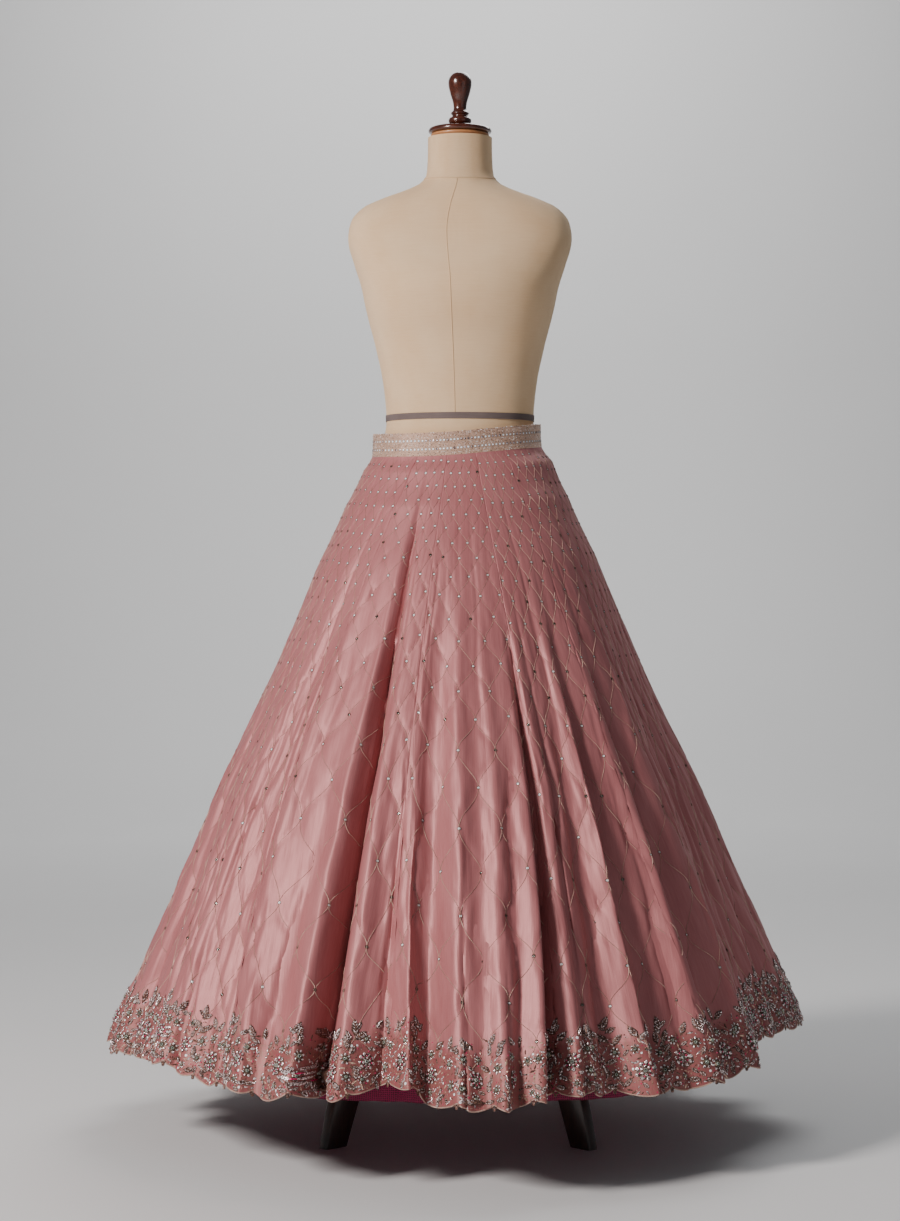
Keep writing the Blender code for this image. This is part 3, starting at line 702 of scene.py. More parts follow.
def columns_from(line, column):
    """How many columns right of a line the columns are, at most half way round."""
    return (column - line + ROUND_COLUMNS / 2) % ROUND_COLUMNS - ROUND_COLUMNS / 2


def round_trip(value, whole):
    """How far round a value is from 0, the shorter way, so that a flat map has no jump."""
    return np.abs((value + whole / 2) % whole - whole / 2)


def lap_shift(column, height):
    """How many columns to the right the crests lap over."""
    shift = 0.0
    for lap in LAPS:
        way = np.clip((lap.top - height) / (lap.top - HEM_HEIGHT), 0.0, None)
        away = columns_from(lap.column, column)
        spread = np.where(away < 0.0, LAP_BACK, 1.0) * lap.reach
        shift = shift + lap.shift * way ** LAP_GROWTH * np.exp(-(away / spread) ** 2)
    return shift


def column_angle(column, height):
    """The angle of columns at heights, where the folds lean most half way up."""
    upper, share = fold_neighbours(column)
    lean = FOLD_LEAN[upper - 1] + (FOLD_LEAN[upper] - FOLD_LEAN[upper - 1]) * share
    way_up = np.clip((height - HEM_HEIGHT) / (BAND_TOP - BAND_TALL - HEM_HEIGHT), 0.0, 1.0)
    turn = (column + lap_shift(column, height)) * COLUMN_STEP
    return FIRST_SEAM + turn + lean * np.sin(np.pi * way_up)


def both_halves(rows):
    """The front half's creases or tucks, and the like of them half way round."""
    made = list(rows)
    chance = np.random.default_rng(SEED)
    for row in rows:
        made.append(row._replace(
            column=row.column + ROUND_COLUMNS / 2 + chance.uniform(-BACK_STRAY, BACK_STRAY),
            depth=row.depth * chance.uniform(*BACK_DEPTHS),
            top=row.top + chance.uniform(*BACK_TOPS),
        ))
    return made


ALL_CREASES = both_halves(CREASES)
ALL_TUCKS = both_halves(TUCKS)


def sway(waves, column, way_down):
    """The sum of waves at columns and ways down."""
    return sum(wave.size * np.sin(wave.down * way_down + wave.across * column) for wave in waves)


def crease_offset(column, height):
    """How far the small creases, tucks and ripples move the cloth in or out."""
    way_down = np.clip((BAND_TOP - BAND_TALL - height) / (BAND_TOP - BAND_TALL - HEM_HEIGHT), 0, 1)
    column = column + WANDER * sway(WANDERS, column, way_down) * np.sin(np.pi * way_down)
    moved = np.zeros_like(column + height)
    for crease in ALL_CREASES:
        way = (height - crease.foot) / (crease.top - crease.foot)
        away = columns_from(crease.column + crease.lean * way, column)
        near = (np.abs(away) < CREASE_REACH * crease.width) & (way > 0.0) & (way < 1.0)
        fade = np.minimum(1.0, CREASE_START * way[near]) * (1.0 - way[near]) ** CREASE_FADE
        trough = np.exp(-np.abs(away[near] / crease.width) ** CREASE_SHARPNESS)
        moved[near] -= crease.depth * fade * trough
    for tuck in ALL_TUCKS:
        way = np.clip((height - HEM_HEIGHT) / (tuck.top - HEM_HEIGHT), 0.0, 1.0)
        away = columns_from(tuck.column + tuck.lean * way, column) / tuck.width
        reach = np.where(away < 0.0, -away / TUCK_EDGE, away)
        near = reach < CREASE_REACH
        trough = np.exp(-reach[near] ** CREASE_SHARPNESS)
        moved[near] -= tuck.depth * (1.0 - way[near]) ** TUCK_GROWTH * trough
    drift = DRIFT * sway(DRIFTS, column, way_down)
    for ripple in RIPPLES:
        turn = 2.0 * np.pi * (column * ripple.around / ROUND_COLUMNS + ripple.down * way_down)
        turn = turn + ripple.phase + drift
        swell = np.sin(0.31 * column + 8.0 * way_down + 2.0 * ripple.phase)
        swell = RIPPLE_EVEN + RIPPLE_UNEVEN * swell
        moved += ripple.size * swell * way_down ** RIPPLE_GROWTH * np.sin(turn + 0.6 * np.sin(turn))
    return moved


def band_height(column, share):
    """Heights on the waistband, from its upper edge at share 0 to its lower edge at share 1."""
    return BAND_TOP + band_tilt(FIRST_SEAM + column * COLUMN_STEP) - BAND_TALL * share


def scallop(column):
    """0 at the notch between two scallops and 1 at a scallop's lowest point."""
    return np.sin(np.pi * (column / SCALLOP_COLUMNS % 1.0)) ** SCALLOP_POWER


def notch_height(column):
    """The level of the notches between the hem's scallops."""
    return HEM_HEIGHT + fold_lift(column)


def way_height(column, share):
    """Heights from the waistband's lower edge at share 0 to the scalloped hem at share 1."""
    top = band_height(column, 1.0)
    hem = notch_height(column) - SCALLOP_DROP * scallop(column)
    return top + (hem - top) * share


def lattice_share(column, height):
    """How far down the lattice's plain way, without scallops, heights are."""
    top = band_height(column, 1.0)
    return (top - height) / (top - notch_height(column))


def lattice_height(column, share):
    """Heights at shares of the lattice's plain way down."""
    top = band_height(column, 1.0)
    return top + (notch_height(column) - top) * share


def row_slip(column):
    """The slip of the lattice's rows on the kali that columns are on."""
    kali = np.floor(column / KALI_COLUMNS).astype(int) % KALI_COUNT
    return np.array(ROW_SLIPS)[kali]


ROW_NUMBERS = np.arange(-1, len(DOT_ROWS) + 1)
ROW_SHARES = (2.0 * DOT_ROWS[0] - DOT_ROWS[1], *DOT_ROWS, 2.0 * DOT_ROWS[-1] - DOT_ROWS[-2])


def row_share(row):
    """The share of the way down of lattice rows, which may lie between two rows or past the last."""
    return np.interp(row, ROW_NUMBERS, ROW_SHARES)


def share_row(share):
    """The lattice row, with its fraction, at shares of the way down."""
    return np.interp(share, ROW_SHARES, ROW_NUMBERS)


def thread_swing(way):
    """How far a thread has swung sideways between two rows, in dots."""
    return 0.25 - 0.25 * np.cos(np.pi * way)


def pucker_offset(column, height):
    """How far the couched threads pull the cloth in."""
    row = share_row(lattice_share(column, height)) - row_slip(column)
    number = np.floor(row)
    swing = thread_swing(row - number)
    place = column * LATTICE_ACROSS / KALI_COLUMNS - LATTICE_SHIFT - 0.5 * (number % 2)
    moved = 0.0
    for side in (-1.0, 1.0):
        away = place + side * swing
        away = np.abs(away - np.round(away))
        moved = moved - np.exp(-(away / PUCKER_WIDTH) ** 2)
    uneven = 1.0 + PUCKER_UNEVEN * np.sin(0.9 * column + 1.7 * row) * np.sin(0.37 * column - 0.8 * row)
    return moved * PUCKER_DEPTH * uneven * np.clip(row / len(DOT_ROWS), PUCKER_LEAST, 1.0)


def seam_offset(column):
    """How far the cloth sinks at the seams between kalis."""
    place = column % KALI_COLUMNS
    away = np.minimum(place, KALI_COLUMNS - place)
    return -SEAM_SINK * np.exp(-(away / SEAM_REACH) ** 2)


def skirt_surface(column, height):
    """Points of the silk's outer face."""
    angle = column_angle(column, height)
    radius = skirt_base_radius(angle, height) + fold_offset(column, height)
    radius = radius + crease_offset(column, height) + pucker_offset(column, height)
    return polar(angle, radius + seam_offset(column), height)


def unit(vectors):
    """Vectors made one long."""
    return vectors / np.linalg.norm(vectors, axis=-1, keepdims=True)


# ---------------------------------------------------------------- meshes

Shape = namedtuple("Shape", "points faces")


def joined(shapes):
    """Several shapes as one."""
    first = np.cumsum([0] + [len(shape.points) for shape in shapes[:-1]])
    return Shape(
        np.vstack([shape.points for shape in shapes]),
        np.vstack([np.asarray(shape.faces) + start for shape, start in zip(shapes, first)]),
    )


def numbered(points):
    """The numbers of the points of a grid."""
    return np.arange(points.shape[0] * points.shape[1]).reshape(points.shape[:2])


def patches(number):
    """Triangles that fill a grid of point numbers, rows from the top down, columns to the right."""
    first, second = number[:-1, :-1].ravel(), number[1:, :-1].ravel()
    third, fourth = number[1:, 1:].ravel(), number[:-1, 1:].ravel()
    return np.vstack([
        np.stack([first, second, third], axis=1),
        np.stack([first, third, fourth], axis=1),
    ])


def grid(points):
    """A grid of points as triangles."""
    return Shape(points.reshape(-1, 3), patches(numbered(points)))


def edge_strip(fine, coarse):
    """Triangles from a line of point numbers down to a line with fewer steps."""
    each = (len(fine) - 1) // (len(coarse) - 1)
    faces = []
    for step in range(len(coarse) - 1):
        for place in range(step * each, (step + 1) * each):
            faces.append((fine[place], coarse[step], fine[place + 1]))
        faces.append((fine[(step + 1) * each], coarse[step], coarse[step + 1]))
    return np.array(faces)


def walled_sheet(outer, inner):
    """A thin closed sheet from a fine grid of its outer face and a coarser one of its inner face."""
    front, back = grid(outer), grid(inner)
    made = joined([front, Shape(back.points, back.faces[:, ::-1])])
    fine = numbered(outer)
    coarse = fine.size + numbered(inner)
    edges = [
        edge_strip(fine[-1], coarse[-1]),
        edge_strip(fine[0], coarse[0])[:, ::-1],
        edge_strip(fine[:, 0], coarse[:, 0]),
        edge_strip(fine[:, -1], coarse[:, -1])[:, ::-1],
    ]
    return Shape(made.points, np.vstack([made.faces, *edges]))


def walled_ring(outer, inner):
    """A thin closed band from two equal grids that go all the way round."""
    number = numbered(outer)
    section = np.vstack([number, number[::-1] + number.size])
    faces = patches(np.pad(section, ((0, 1), (0, 1)), mode="wrap"))
    return Shape(np.vstack([outer.reshape(-1, 3), inner.reshape(-1, 3)]), faces)


def fan(middle, starts, ends):
    """Triangles from a middle point's number to each step of a ring."""
    return np.stack([np.full(len(starts), middle), starts, ends], axis=1)


def capped_tube(rings):
    """A closed solid through rings of points, from the top down."""
    number = numbered(rings)
    top, bottom = number.size, number.size + 1
    number = np.pad(number, ((0, 0), (0, 1)), mode="wrap")
    upper, lower = number[0], number[-1]
    points = np.vstack([rings.reshape(-1, 3), rings[0].mean(axis=0), rings[-1].mean(axis=0)])
    return Shape(points, np.vstack([
        patches(number), fan(top, upper[:-1], upper[1:]), fan(bottom, lower[1:], lower[:-1]),
    ]))


def round_cord(path, outward, radius):
    """A closed loop of cord along points, with its outward directions."""
    along = unit(np.roll(path, -1, axis=0) - np.roll(path, 1, axis=0))
    across = unit(np.cross(outward, along))
    up = np.cross(along, across)
    loops = []
    for turn in 2.0 * np.pi * np.arange(CORD_SIDES) / CORD_SIDES:
        loops.append(path + radius * (np.cos(turn) * across + np.sin(turn) * up))
    rings = np.stack(loops, axis=0)
    faces = patches(np.pad(numbered(rings), ((0, 1), (0, 1)), mode="wrap"))
    return Shape(rings.reshape(-1, 3), faces)


def in_scene(name, data):
    """A new object that shows a mesh, a light or a camera."""
    made = bpy.data.objects.new(name, data)
    bpy.context.collection.objects.link(made)
    return made


def smooth_mesh(name, shape, material, maps=None):
    """A smooth mesh, its map coordinates in metres where it has them."""
    mesh = bpy.data.meshes.new(name)
    mesh.from_pydata(shape.points.tolist(), [], shape.faces.tolist())
    corners = np.zeros(len(mesh.loops), dtype=np.int32)
    mesh.loops.foreach_get("vertex_index", corners)
    for map_name, flat in (maps or {}).items():
        layer = mesh.uv_layers.new(name=map_name)
        layer.data.foreach_set("uv", flat[corners].ravel().astype(np.float32))
    mesh.materials.append(material)
    mesh.shade_smooth()
    return mesh


def add_piece(name, shape, material, replaced=None, maps=None, sharp=40.0):
    """A piece that rides with the part and stands for a node of the frame where it names one."""
    mesh = smooth_mesh(name, shape, material, maps)
    mesh.set_sharp_from_angle(angle=math.radians(sharp))
    piece = in_scene(name, mesh)
    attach(piece, "root")
    if replaced:
        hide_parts(replaced)
    return piece


def add_heaps(first_name, heaps, materials):
    """A piece of trim for each finish, from the shapes heaped under it."""
    return [
        add_piece(f"{first_name}_{finish}", joined(shapes), materials[finish])
        for finish, shapes in sorted(heaps.items())
    ]


def flat_rows(across, up):
    """Map coordinates of a grid's points, one after the other."""
    return np.stack(np.broadcast_arrays(across, up), axis=-1).reshape(-1, 2)


# ---------------------------------------------------------------- small shapes

# A small shape lies flat with x to its right, y up and z out of the cloth, and reaches about one
# from its middle.


def closed(ring, top, bottom=-0.1):
    """A low closed shape over a ring of points, with one point above its middle and one below."""
    ring = np.array(ring, dtype=float)
    count = len(ring)
    middle = ring[:, :2].mean(axis=0)
    number = np.arange(count)
    after = (number + 1) % count
    faces = np.vstack([
        np.stack([number, after, np.full(count, count)], axis=1),
        np.stack([after, number, np.full(count, count + 1)], axis=1),
    ])
    return Shape(np.vstack([ring, [*middle, top], [*middle, bottom]]), faces)


def around(sides, radius=1.0, height=0.0):
    """A ring of points, counter-clockwise."""
    turn = 2.0 * np.pi * np.arange(sides) / sides
    return np.stack([radius * np.cos(turn), radius * np.sin(turn), np.full(sides, height)], axis=1)


def moved(shape, turn=0.0, along=0.0, size=1.0, lift=0.0, wide=1.0):
    """A shape made smaller and wider, moved up its own y, then turned about the origin."""
    spin = math.radians(turn)
    across = shape.points[:, 0] * size * wide
    up = shape.points[:, 1] * size + along
    points = np.stack([
        across * math.cos(spin) - up * math.sin(spin),
        across * math.sin(spin) + up * math.cos(spin),
        shape.points[:, 2] * size + lift,
    ], axis=1)
    return Shape(points, shape.faces)


def ring_shape(sides, width, tall):
    """A ring of rolled thread or cut beads."""
    section = ((1.0, 0.0), (1.0 - 0.5 * width, tall), (1.0 - width, 0.0))
    loops = [around(sides, radius, height) for radius, height in section]
    points = np.vstack(loops)
    faces = []
    for line in range(3):
        for step in range(sides):
            after = (step + 1) % sides
            low, high = line * sides, (line + 1) % 3 * sides
            faces.append((low + step, low + after, high + after))
            faces.append((low + step, high + after, high + step))
    return Shape(points, np.array(faces))


GRAIN = closed([(0.0, -1.0, 0.1), (0.32, 0.0, 0.05), (0.0, 1.0, 0.1), (-0.32, 0.0, 0.05)], 0.45)
BEAD = closed(around(5), 0.85, -0.3)
BLADE = closed(
    [(0.0, -1.0, 0.0), (0.3, -0.2, 0.02), (0.22, 0.45, 0.02), (0.0, 1.0, 0.05), (-0.22, 0.45, 0.02),
     (-0.3, -0.2, 0.02)], 0.26,
)
CUP = closed(
    [(0.0, 0.05, 0.1), (0.42, 0.4, 0.05), (0.36, 0.82, 0.0), (0.0, 1.0, 0.0), (-0.36, 0.82, 0.0),
     (-0.42, 0.4, 0.05)], 0.30,
)
GLASS = closed(around(8, 1.0, 0.12), 0.34)
DOT_RING = ring_shape(8, 0.42, 0.36)


def leaf_parts():
    """A leaf of slanting silver grains on both sides of a rib, over a bronze ground."""
    parts = []
    for place, reach in ((-0.58, 0.44), (-0.20, 0.50), (0.18, 0.44), (0.56, 0.30)):
        for slant in (-36.0, 36.0):
            grain = moved(GRAIN, slant, along=reach * 0.56, size=reach * 0.72, wide=1.1)
            parts.append(Shape(grain.points + (0.0, place, 0.12), grain.faces))
    return {"bronze_beads": moved(BLADE, size=1.12, wide=1.55), "silver_beads": joined(parts)}


def whorl(shape, count, along, size, lift=0.0, wide=1.0, first=0.0):
    """Copies of a shape round the middle."""
    return joined([
        moved(shape, first + 360.0 * step / count, along, size, lift, wide) for step in range(count)
    ])


def rose_parts():
    """A full flower: silver petals over a dark ground, magenta beads and a ringed stone round a mirror
    painted with a dark reflection.
    """
    return {
        "bronze_beads": closed(around(12), 0.14),
        "silver_beads": joined([
            whorl(CUP, 9, along=0.54, size=0.42, lift=0.10, wide=0.95),
            whorl(CUP, 6, along=0.24, size=0.28, lift=0.18, wide=1.05, first=12.0),
        ]),
        "magenta_beads": whorl(BEAD, 7, along=0.56, size=0.080, lift=0.20, first=20.0),
        "mint_stones": moved(ring_shape(8, 0.5, 0.5), size=0.20, lift=0.16),
        "mirror_painted_dark_reflection": moved(BEAD, size=0.10, lift=0.20),
    }


def flower_parts():
    """A small flower: silver petals over a dark ground, a gold ring and a ringed stone round a mirror
    painted with a dark reflection.
    """
    return {
        "bronze_beads": closed(around(9, 0.95), 0.14),
        "silver_beads": whorl(CUP, 7, along=0.46, size=0.50, lift=0.10, wide=0.85),
        "gold_beads": moved(ring_shape(8, 0.30, 0.3), size=0.46, lift=0.10),
        "mint_stones": moved(ring_shape(8, 0.5, 0.5), size=0.27, lift=0.17),
        "mirror_painted_dark_reflection": moved(BEAD, size=0.15, lift=0.20),
    }


# The drawn motifs by kind, each as shapes under their finishes, and the share of its size that each
# keeps clear round its middle.
KINDS = {"rose": rose_parts(), "flower": flower_parts(), "leaf": leaf_parts()}
ROOM_SHARES = {"rose": 1.0, "flower": 1.0, "leaf": 0.45}
# The loose shapes by kind, each with the finishes that chance picks from.
LOOSE = {
    "petal": (BLADE, ("silver_beads", "beige_beads", "silver_beads", "bronze_beads")),
    # The sequins are painted as glints.
    "sequin": (GLASS, ("mirror_bright",)),
    "grain": (GRAIN, ("silver_beads", "bronze_beads", "beige_beads", "bronze_beads")),
    "bead": (BEAD, ("silver_beads", "magenta_beads", "beige_beads", "bronze_beads",
                    "magenta_beads")),
}


# ---------------------------------------------------------------- placing on a surface

Spots = namedtuple("Spots", "column height size turn")


def surface_slopes(surface, column, height):
    """How a surface moves per column and per metre of height."""
    right = surface(column + PROBE_COLUMN, height)
    left = surface(column - PROBE_COLUMN, height)
    upper = surface(column, height + PROBE_HEIGHT)
    lower = surface(column, height - PROBE_HEIGHT)
    return (right - left) / (2.0 * PROBE_COLUMN), (upper - lower) / (2.0 * PROBE_HEIGHT)


def outward_from(surface, column, height):
    """A surface's outward directions, one long."""
    return unit(np.cross(*surface_slopes(surface, column, height)))


def on_surface(surface, column, height, out):
    """Points of a surface moved out along its outward direction."""
    column, height, out = np.broadcast_arrays(column, height, out)
    return surface(column, height) + outward_from(surface, column, height) * out[..., None]


def scatter(surface, shape, spots, sink=0.0002):
    """Copies of a small shape on a surface, each bent to it."""
    per_column, per_height = surface_slopes(surface, spots.column, spots.height)
    wide = np.linalg.norm(per_column, axis=-1)
    skew = (per_column * per_height).sum(axis=-1) / wide
    tall = np.sqrt((per_height ** 2).sum(axis=-1) - skew ** 2)
    spin = np.radians(spots.turn)[:, None]
    size = spots.size[:, None]
    across = size * (shape.points[:, 0] * np.cos(spin) - shape.points[:, 1] * np.sin(spin))
    up = size * (shape.points[:, 0] * np.sin(spin) + shape.points[:, 1] * np.cos(spin))
    rise = up / tall[:, None]
    column = spots.column[:, None] + (across - skew[:, None] * rise) / wide[:, None]
    points = on_surface(surface, column, spots.height[:, None] + rise,
                        size * shape.points[:, 2] - sink)
    first = len(shape.points) * np.arange(len(spots.column))
    faces = shape.faces[None, :, :] + first[:, None, None]
    return Shape(points.reshape(-1, 3), faces.reshape(-1, 3))


# ---------------------------------------------------------------- materials

BLACK = (0.0, 0.0, 0.0)
WHITE = (1.0, 1.0, 1.0)

# Weaves: dark and light colours, roughness, the pitch of the threads and their sheen.
WEAVES = {
    "cream_linen_cloth": ((0.84, 0.55, 0.30), (0.94, 0.68, 0.42), 0.85, 0.0009, 0.15),
    "cream_linen_cord": ((0.70, 0.45, 0.25), (0.80, 0.56, 0.34), 0.85, 0.0006, 0.1),
    "grey_tape_cloth": ((0.120, 0.085, 0.080), (0.210, 0.160, 0.150), 0.80, 0.0008, 0.1),
}
# Woods: dark and light colours, roughness, coat, and how fine the grain is along each axis.
WOODS = {
    "pale_wood_grain": ((0.42, 0.16, 0.055), (0.62, 0.29, 0.12), 0.40, 0.2, (90.0, 90.0, 900.0)),
    "mahogany_gloss": ((0.030, 0.006, 0.003), (0.110, 0.024, 0.010), 0.24, 0.9, (60.0, 200.0, 60.0)),
    "dark_wood_grain": ((0.018, 0.007, 0.005), (0.062, 0.024, 0.015), 0.34, 0.4, (160.0, 160.0, 14.0)),
}


def set_inputs(tree, node, inputs):
    """A node's inputs linked to sockets or set to values, by name or number."""
    for name, value in inputs.items():
        if isinstance(value, bpy.types.NodeSocket):
            tree.links.new(value, node.inputs[name])
        else:
            node.inputs[name].default_value = value


def add_node(tree, kind, inputs=None, **settings):
    """A shader node with its settings and its inputs."""
    made = tree.nodes.new(kind)
    for name, value in settings.items():
        setattr(made, name, value)
    set_inputs(tree, made, inputs or {})
    return made


def new_material(name, roughness, metallic=0.0, sheen=0.0, coat=0.0):
    """A material with these plain values, its node tree and its shader."""
    material = bpy.data.materials.new(name)
    material.use_nodes = True
    tree = material.node_tree
    shader = tree.nodes["Principled BSDF"]
    set_inputs(tree, shader, {
        "Roughness": roughness, "Metallic": metallic, "Sheen Weight": sheen, "Coat Weight": coat,
    })
    return material, tree, shader


def combined(tree, kind, operation, *inputs):
    """The result of a maths node on these inputs."""
    return add_node(tree, kind, dict(enumerate(inputs)), operation=operation).outputs[0]


def scaled(tree, place, scale):
    """A place with a scale for each of its axes."""
    return combined(tree, "ShaderNodeVectorMath", "MULTIPLY", place, scale)


def noise(tree, place, scale, detail=2.0, rough=0.5):
    """Noise at a scale for each axis of a place, from about 0.3 to 0.7."""
    made = add_node(tree, "ShaderNodeTexNoise", {
        "Vector": scaled(tree, place, scale), "Scale": 1.0, "Detail": detail, "Roughness": rough,
    })
    return made.outputs["Fac"]


def cell_edges(tree, place, scale, **inputs):
    """How far places are from the edges of irregular cells."""
    made = add_node(tree, "ShaderNodeTexVoronoi", {
        "Vector": scaled(tree, place, scale), "Scale": 1.0, **inputs,
    }, feature="DISTANCE_TO_EDGE")
    return made.outputs["Distance"]


def threads(tree, place, turn, pitch, wobble):
    """Round parallel threads this far apart across a direction of the map."""
    turned = add_node(tree, "ShaderNodeMapping", {"Vector": place, "Rotation": (0.0, 0.0, turn)})
    made = add_node(tree, "ShaderNodeTexWave", {
        "Vector": turned.outputs[0], "Scale": math.pi / (10.0 * pitch), "Distortion": wobble,
        "Detail": 2.0,
    })
    return made.outputs["Fac"]


def blend(tree, share, low, high, first=0.3, last=0.7):
    """A colour between two, as a share goes from its first to its last value."""
    made = add_node(tree, "ShaderNodeValToRGB", {"Fac": share})
    ramp = made.color_ramp
    ramp.elements[0].position, ramp.elements[1].position = first, last
    ramp.elements[0].color, ramp.elements[1].color = (*low, 1.0), (*high, 1.0)
    return made.outputs["Color"]


def mixed(tree, share, first, second):
    """Two colours mixed. The node's inputs 0, 6 and 7 are its share and colours, its output 2 the mix."""
    return add_node(tree, "ShaderNodeMix", {0: share, 6: first, 7: second}, data_type="RGBA").outputs[2]


def bumps(tree, shader, *layers):
    """Layers of height and depth in metres, one over the other, on a shader."""
    below = None
    for height, depth in layers:
        inputs = {"Height": height, "Distance": depth, "Strength": 1.0}
        if below is not None:
            inputs["Normal"] = below
        below = add_node(tree, "ShaderNodeBump", inputs).outputs["Normal"]
    tree.links.new(below, shader.inputs["Normal"])


def flat_place(tree):
    """The map's coordinates, in metres on the flat cloth."""
    return add_node(tree, "ShaderNodeUVMap", uv_map="UVMap").outputs["UV"]


def solid_place(tree):
    """The place in the part, in metres."""
    return add_node(tree, "ShaderNodeTexCoord").outputs["Object"]


def set_color(tree, shader, color):
    """A shader's colour from a node."""
    tree.links.new(color, shader.inputs["Base Color"])


def silk_material():
    """Dusty rose silk with a soft shine and painted light and shade on its small creases, its hem
    darkened and worked over with couched thread.
    """
    material, tree, shader = new_material("pink_silk_cloth", 0.46, 0.14, sheen=0.06)
    set_inputs(tree, shader, {
        "Specular Tint": (1.0, 0.78, 0.74, 1.0), "Sheen Roughness": 0.4,
        "Sheen Tint": (1.0, 0.72, 0.70, 1.0),
    })
    place = flat_place(tree)
    slub = noise(tree, place, (900.0, 26.0, 1.0), 3.0, 0.6)
    cross = noise(tree, place, (60.0, 1500.0, 1.0), 2.0, 0.6)
    crease = noise(tree, place, (46.0, 5.5, 1.0), 2.0, 0.5)
    streak = noise(tree, place, (130.0, 11.0, 1.0), 2.0, 0.5)
    cloud = noise(tree, place, (9.0, 4.0, 1.0), 2.0, 0.5)
    tone = blend(tree, cloud, (0.396, 0.130, 0.137), (0.456, 0.164, 0.169))
    # Painted shade and highlight: the cloth is darker in the troughs of its small creases and lighter on
    # their crests, following their bump.
    tone = mixed(tree, 0.16, tone, blend(tree, crease, (0.30, 0.08, 0.085), (0.56, 0.23, 0.225)))
    tone = mixed(tree, 0.13, tone, blend(tree, slub, (0.28, 0.08, 0.085), (0.70, 0.36, 0.35)))
    hem_place = add_node(tree, "ShaderNodeUVMap", uv_map="HemMap").outputs["UV"]
    above = add_node(tree, "ShaderNodeSeparateXYZ", {"Vector": hem_place}).outputs["Y"]
    ragged = noise(tree, hem_place, (60.0, 40.0, 1.0), 3.0, 0.6)
    edge = combined(tree, "ShaderNodeMath", "MULTIPLY_ADD", ragged, -0.05, above)
    worked = blend(tree, edge, WHITE, BLACK, 0.036, 0.050)
    vines = cell_edges(tree, hem_place, (190.0, 150.0, 1.0))
    couched = blend(tree, vines, (0.27, 0.120, 0.100), (0.31, 0.094, 0.094), 0.02, 0.08)
    set_color(tree, shader, mixed(tree, worked, tone, couched))
    smooth = blend(tree, above, WHITE, (0.15, 0.15, 0.15), 0.40, 0.90)
    soft = combined(tree, "ShaderNodeMath", "MULTIPLY", crease, smooth)
    raised = combined(tree, "ShaderNodeMath", "MULTIPLY", couched, worked)
    bumps(tree, shader, (soft, 0.0030), (streak, 0.0006), (slub, 0.00022), (cross, 0.00008),
          (raised, 0.0015))
    return material


def bead_material(name):
    """Cut beads, stones or mirrors that differ a little from one to the next, the silver ones between
    painted glints and painted dark reflections.
    """
    finish = FINISHES[name]
    material, tree, shader = new_material(name, finish.roughness, finish.metallic)
    place = solid_place(tree)
    each = noise(tree, place, (420.0, 420.0, 420.0), 1.0)
    set_color(tree, shader, blend(tree, each, finish.shade, finish.color, 0.42, 0.56))
    cut = noise(tree, place, (1600.0, 1600.0, 1600.0), 1.0)
    bumps(tree, shader, (cut, 0.0003))
    return material


def thread_material(name):
    """Twisted couching thread."""
    finish = FINISHES[name]
    material, tree, shader = new_material(name, finish.roughness, finish.metallic, sheen=0.2)
    place = solid_place(tree)
    length = noise(tree, place, (35.0, 35.0, 35.0), 2.0)
    set_color(tree, shader, blend(tree, length, finish.shade, finish.color))
    twist = noise(tree, place, (1100.0, 1100.0, 700.0), 2.0)
    bumps(tree, shader, (twist, 0.0003))
    return material


def woven_material(name, low, high, roughness, pitch, sheen):
    """Plain weave, its threads this far apart, with slubs, soft clouds of tone and painted shade where
    its warp threads dip.
    """
    material, tree, shader = new_material(name, roughness, sheen=sheen)
    place = flat_place(tree)
    warp = threads(tree, place, 0.0, pitch, 0.6)
    weft = threads(tree, place, math.pi / 2.0, pitch * 1.1, 0.6)
    slub = noise(tree, place, (30.0, 420.0, 1.0), 3.0)
    cloud = noise(tree, place, (14.0, 11.0, 1.0), 3.0)
    tone = blend(tree, cloud, low, high)
    tone = mixed(tree, 0.25, tone, blend(tree, slub, low, high, 0.35, 0.65))
    # Painted shade: the tone darkens where the warp threads dip, following their bump.
    dark = tuple(0.62 * value for value in low)
    tone = mixed(tree, 0.25, tone, blend(tree, warp, dark, high, 0.0, 1.0))
    set_color(tree, shader, tone)
    bumps(tree, shader, (warp, 0.00012), (weft, 0.00012), (slub, 0.00014))
    return material


def band_material():
    """The band's ground: rose and gold tissue, almost hidden by its beads."""
    material, tree, shader = new_material("band_tissue", 0.38, 0.35)
    place = flat_place(tree)
    rows = threads(tree, place, math.pi / 2.0, 0.0016, 2.0)
    grain = noise(tree, place, (900.0, 900.0, 1.0), 2.0)
    tone = blend(tree, grain, (0.50, 0.28, 0.19), (0.88, 0.61, 0.45))
    tone = mixed(tree, 0.4, tone, blend(tree, rows, (0.42, 0.23, 0.16), (0.76, 0.56, 0.44), 0.0, 1.0))
    set_color(tree, shader, tone)
    bumps(tree, shader, (rows, 0.0004), (grain, 0.0003))
    return material


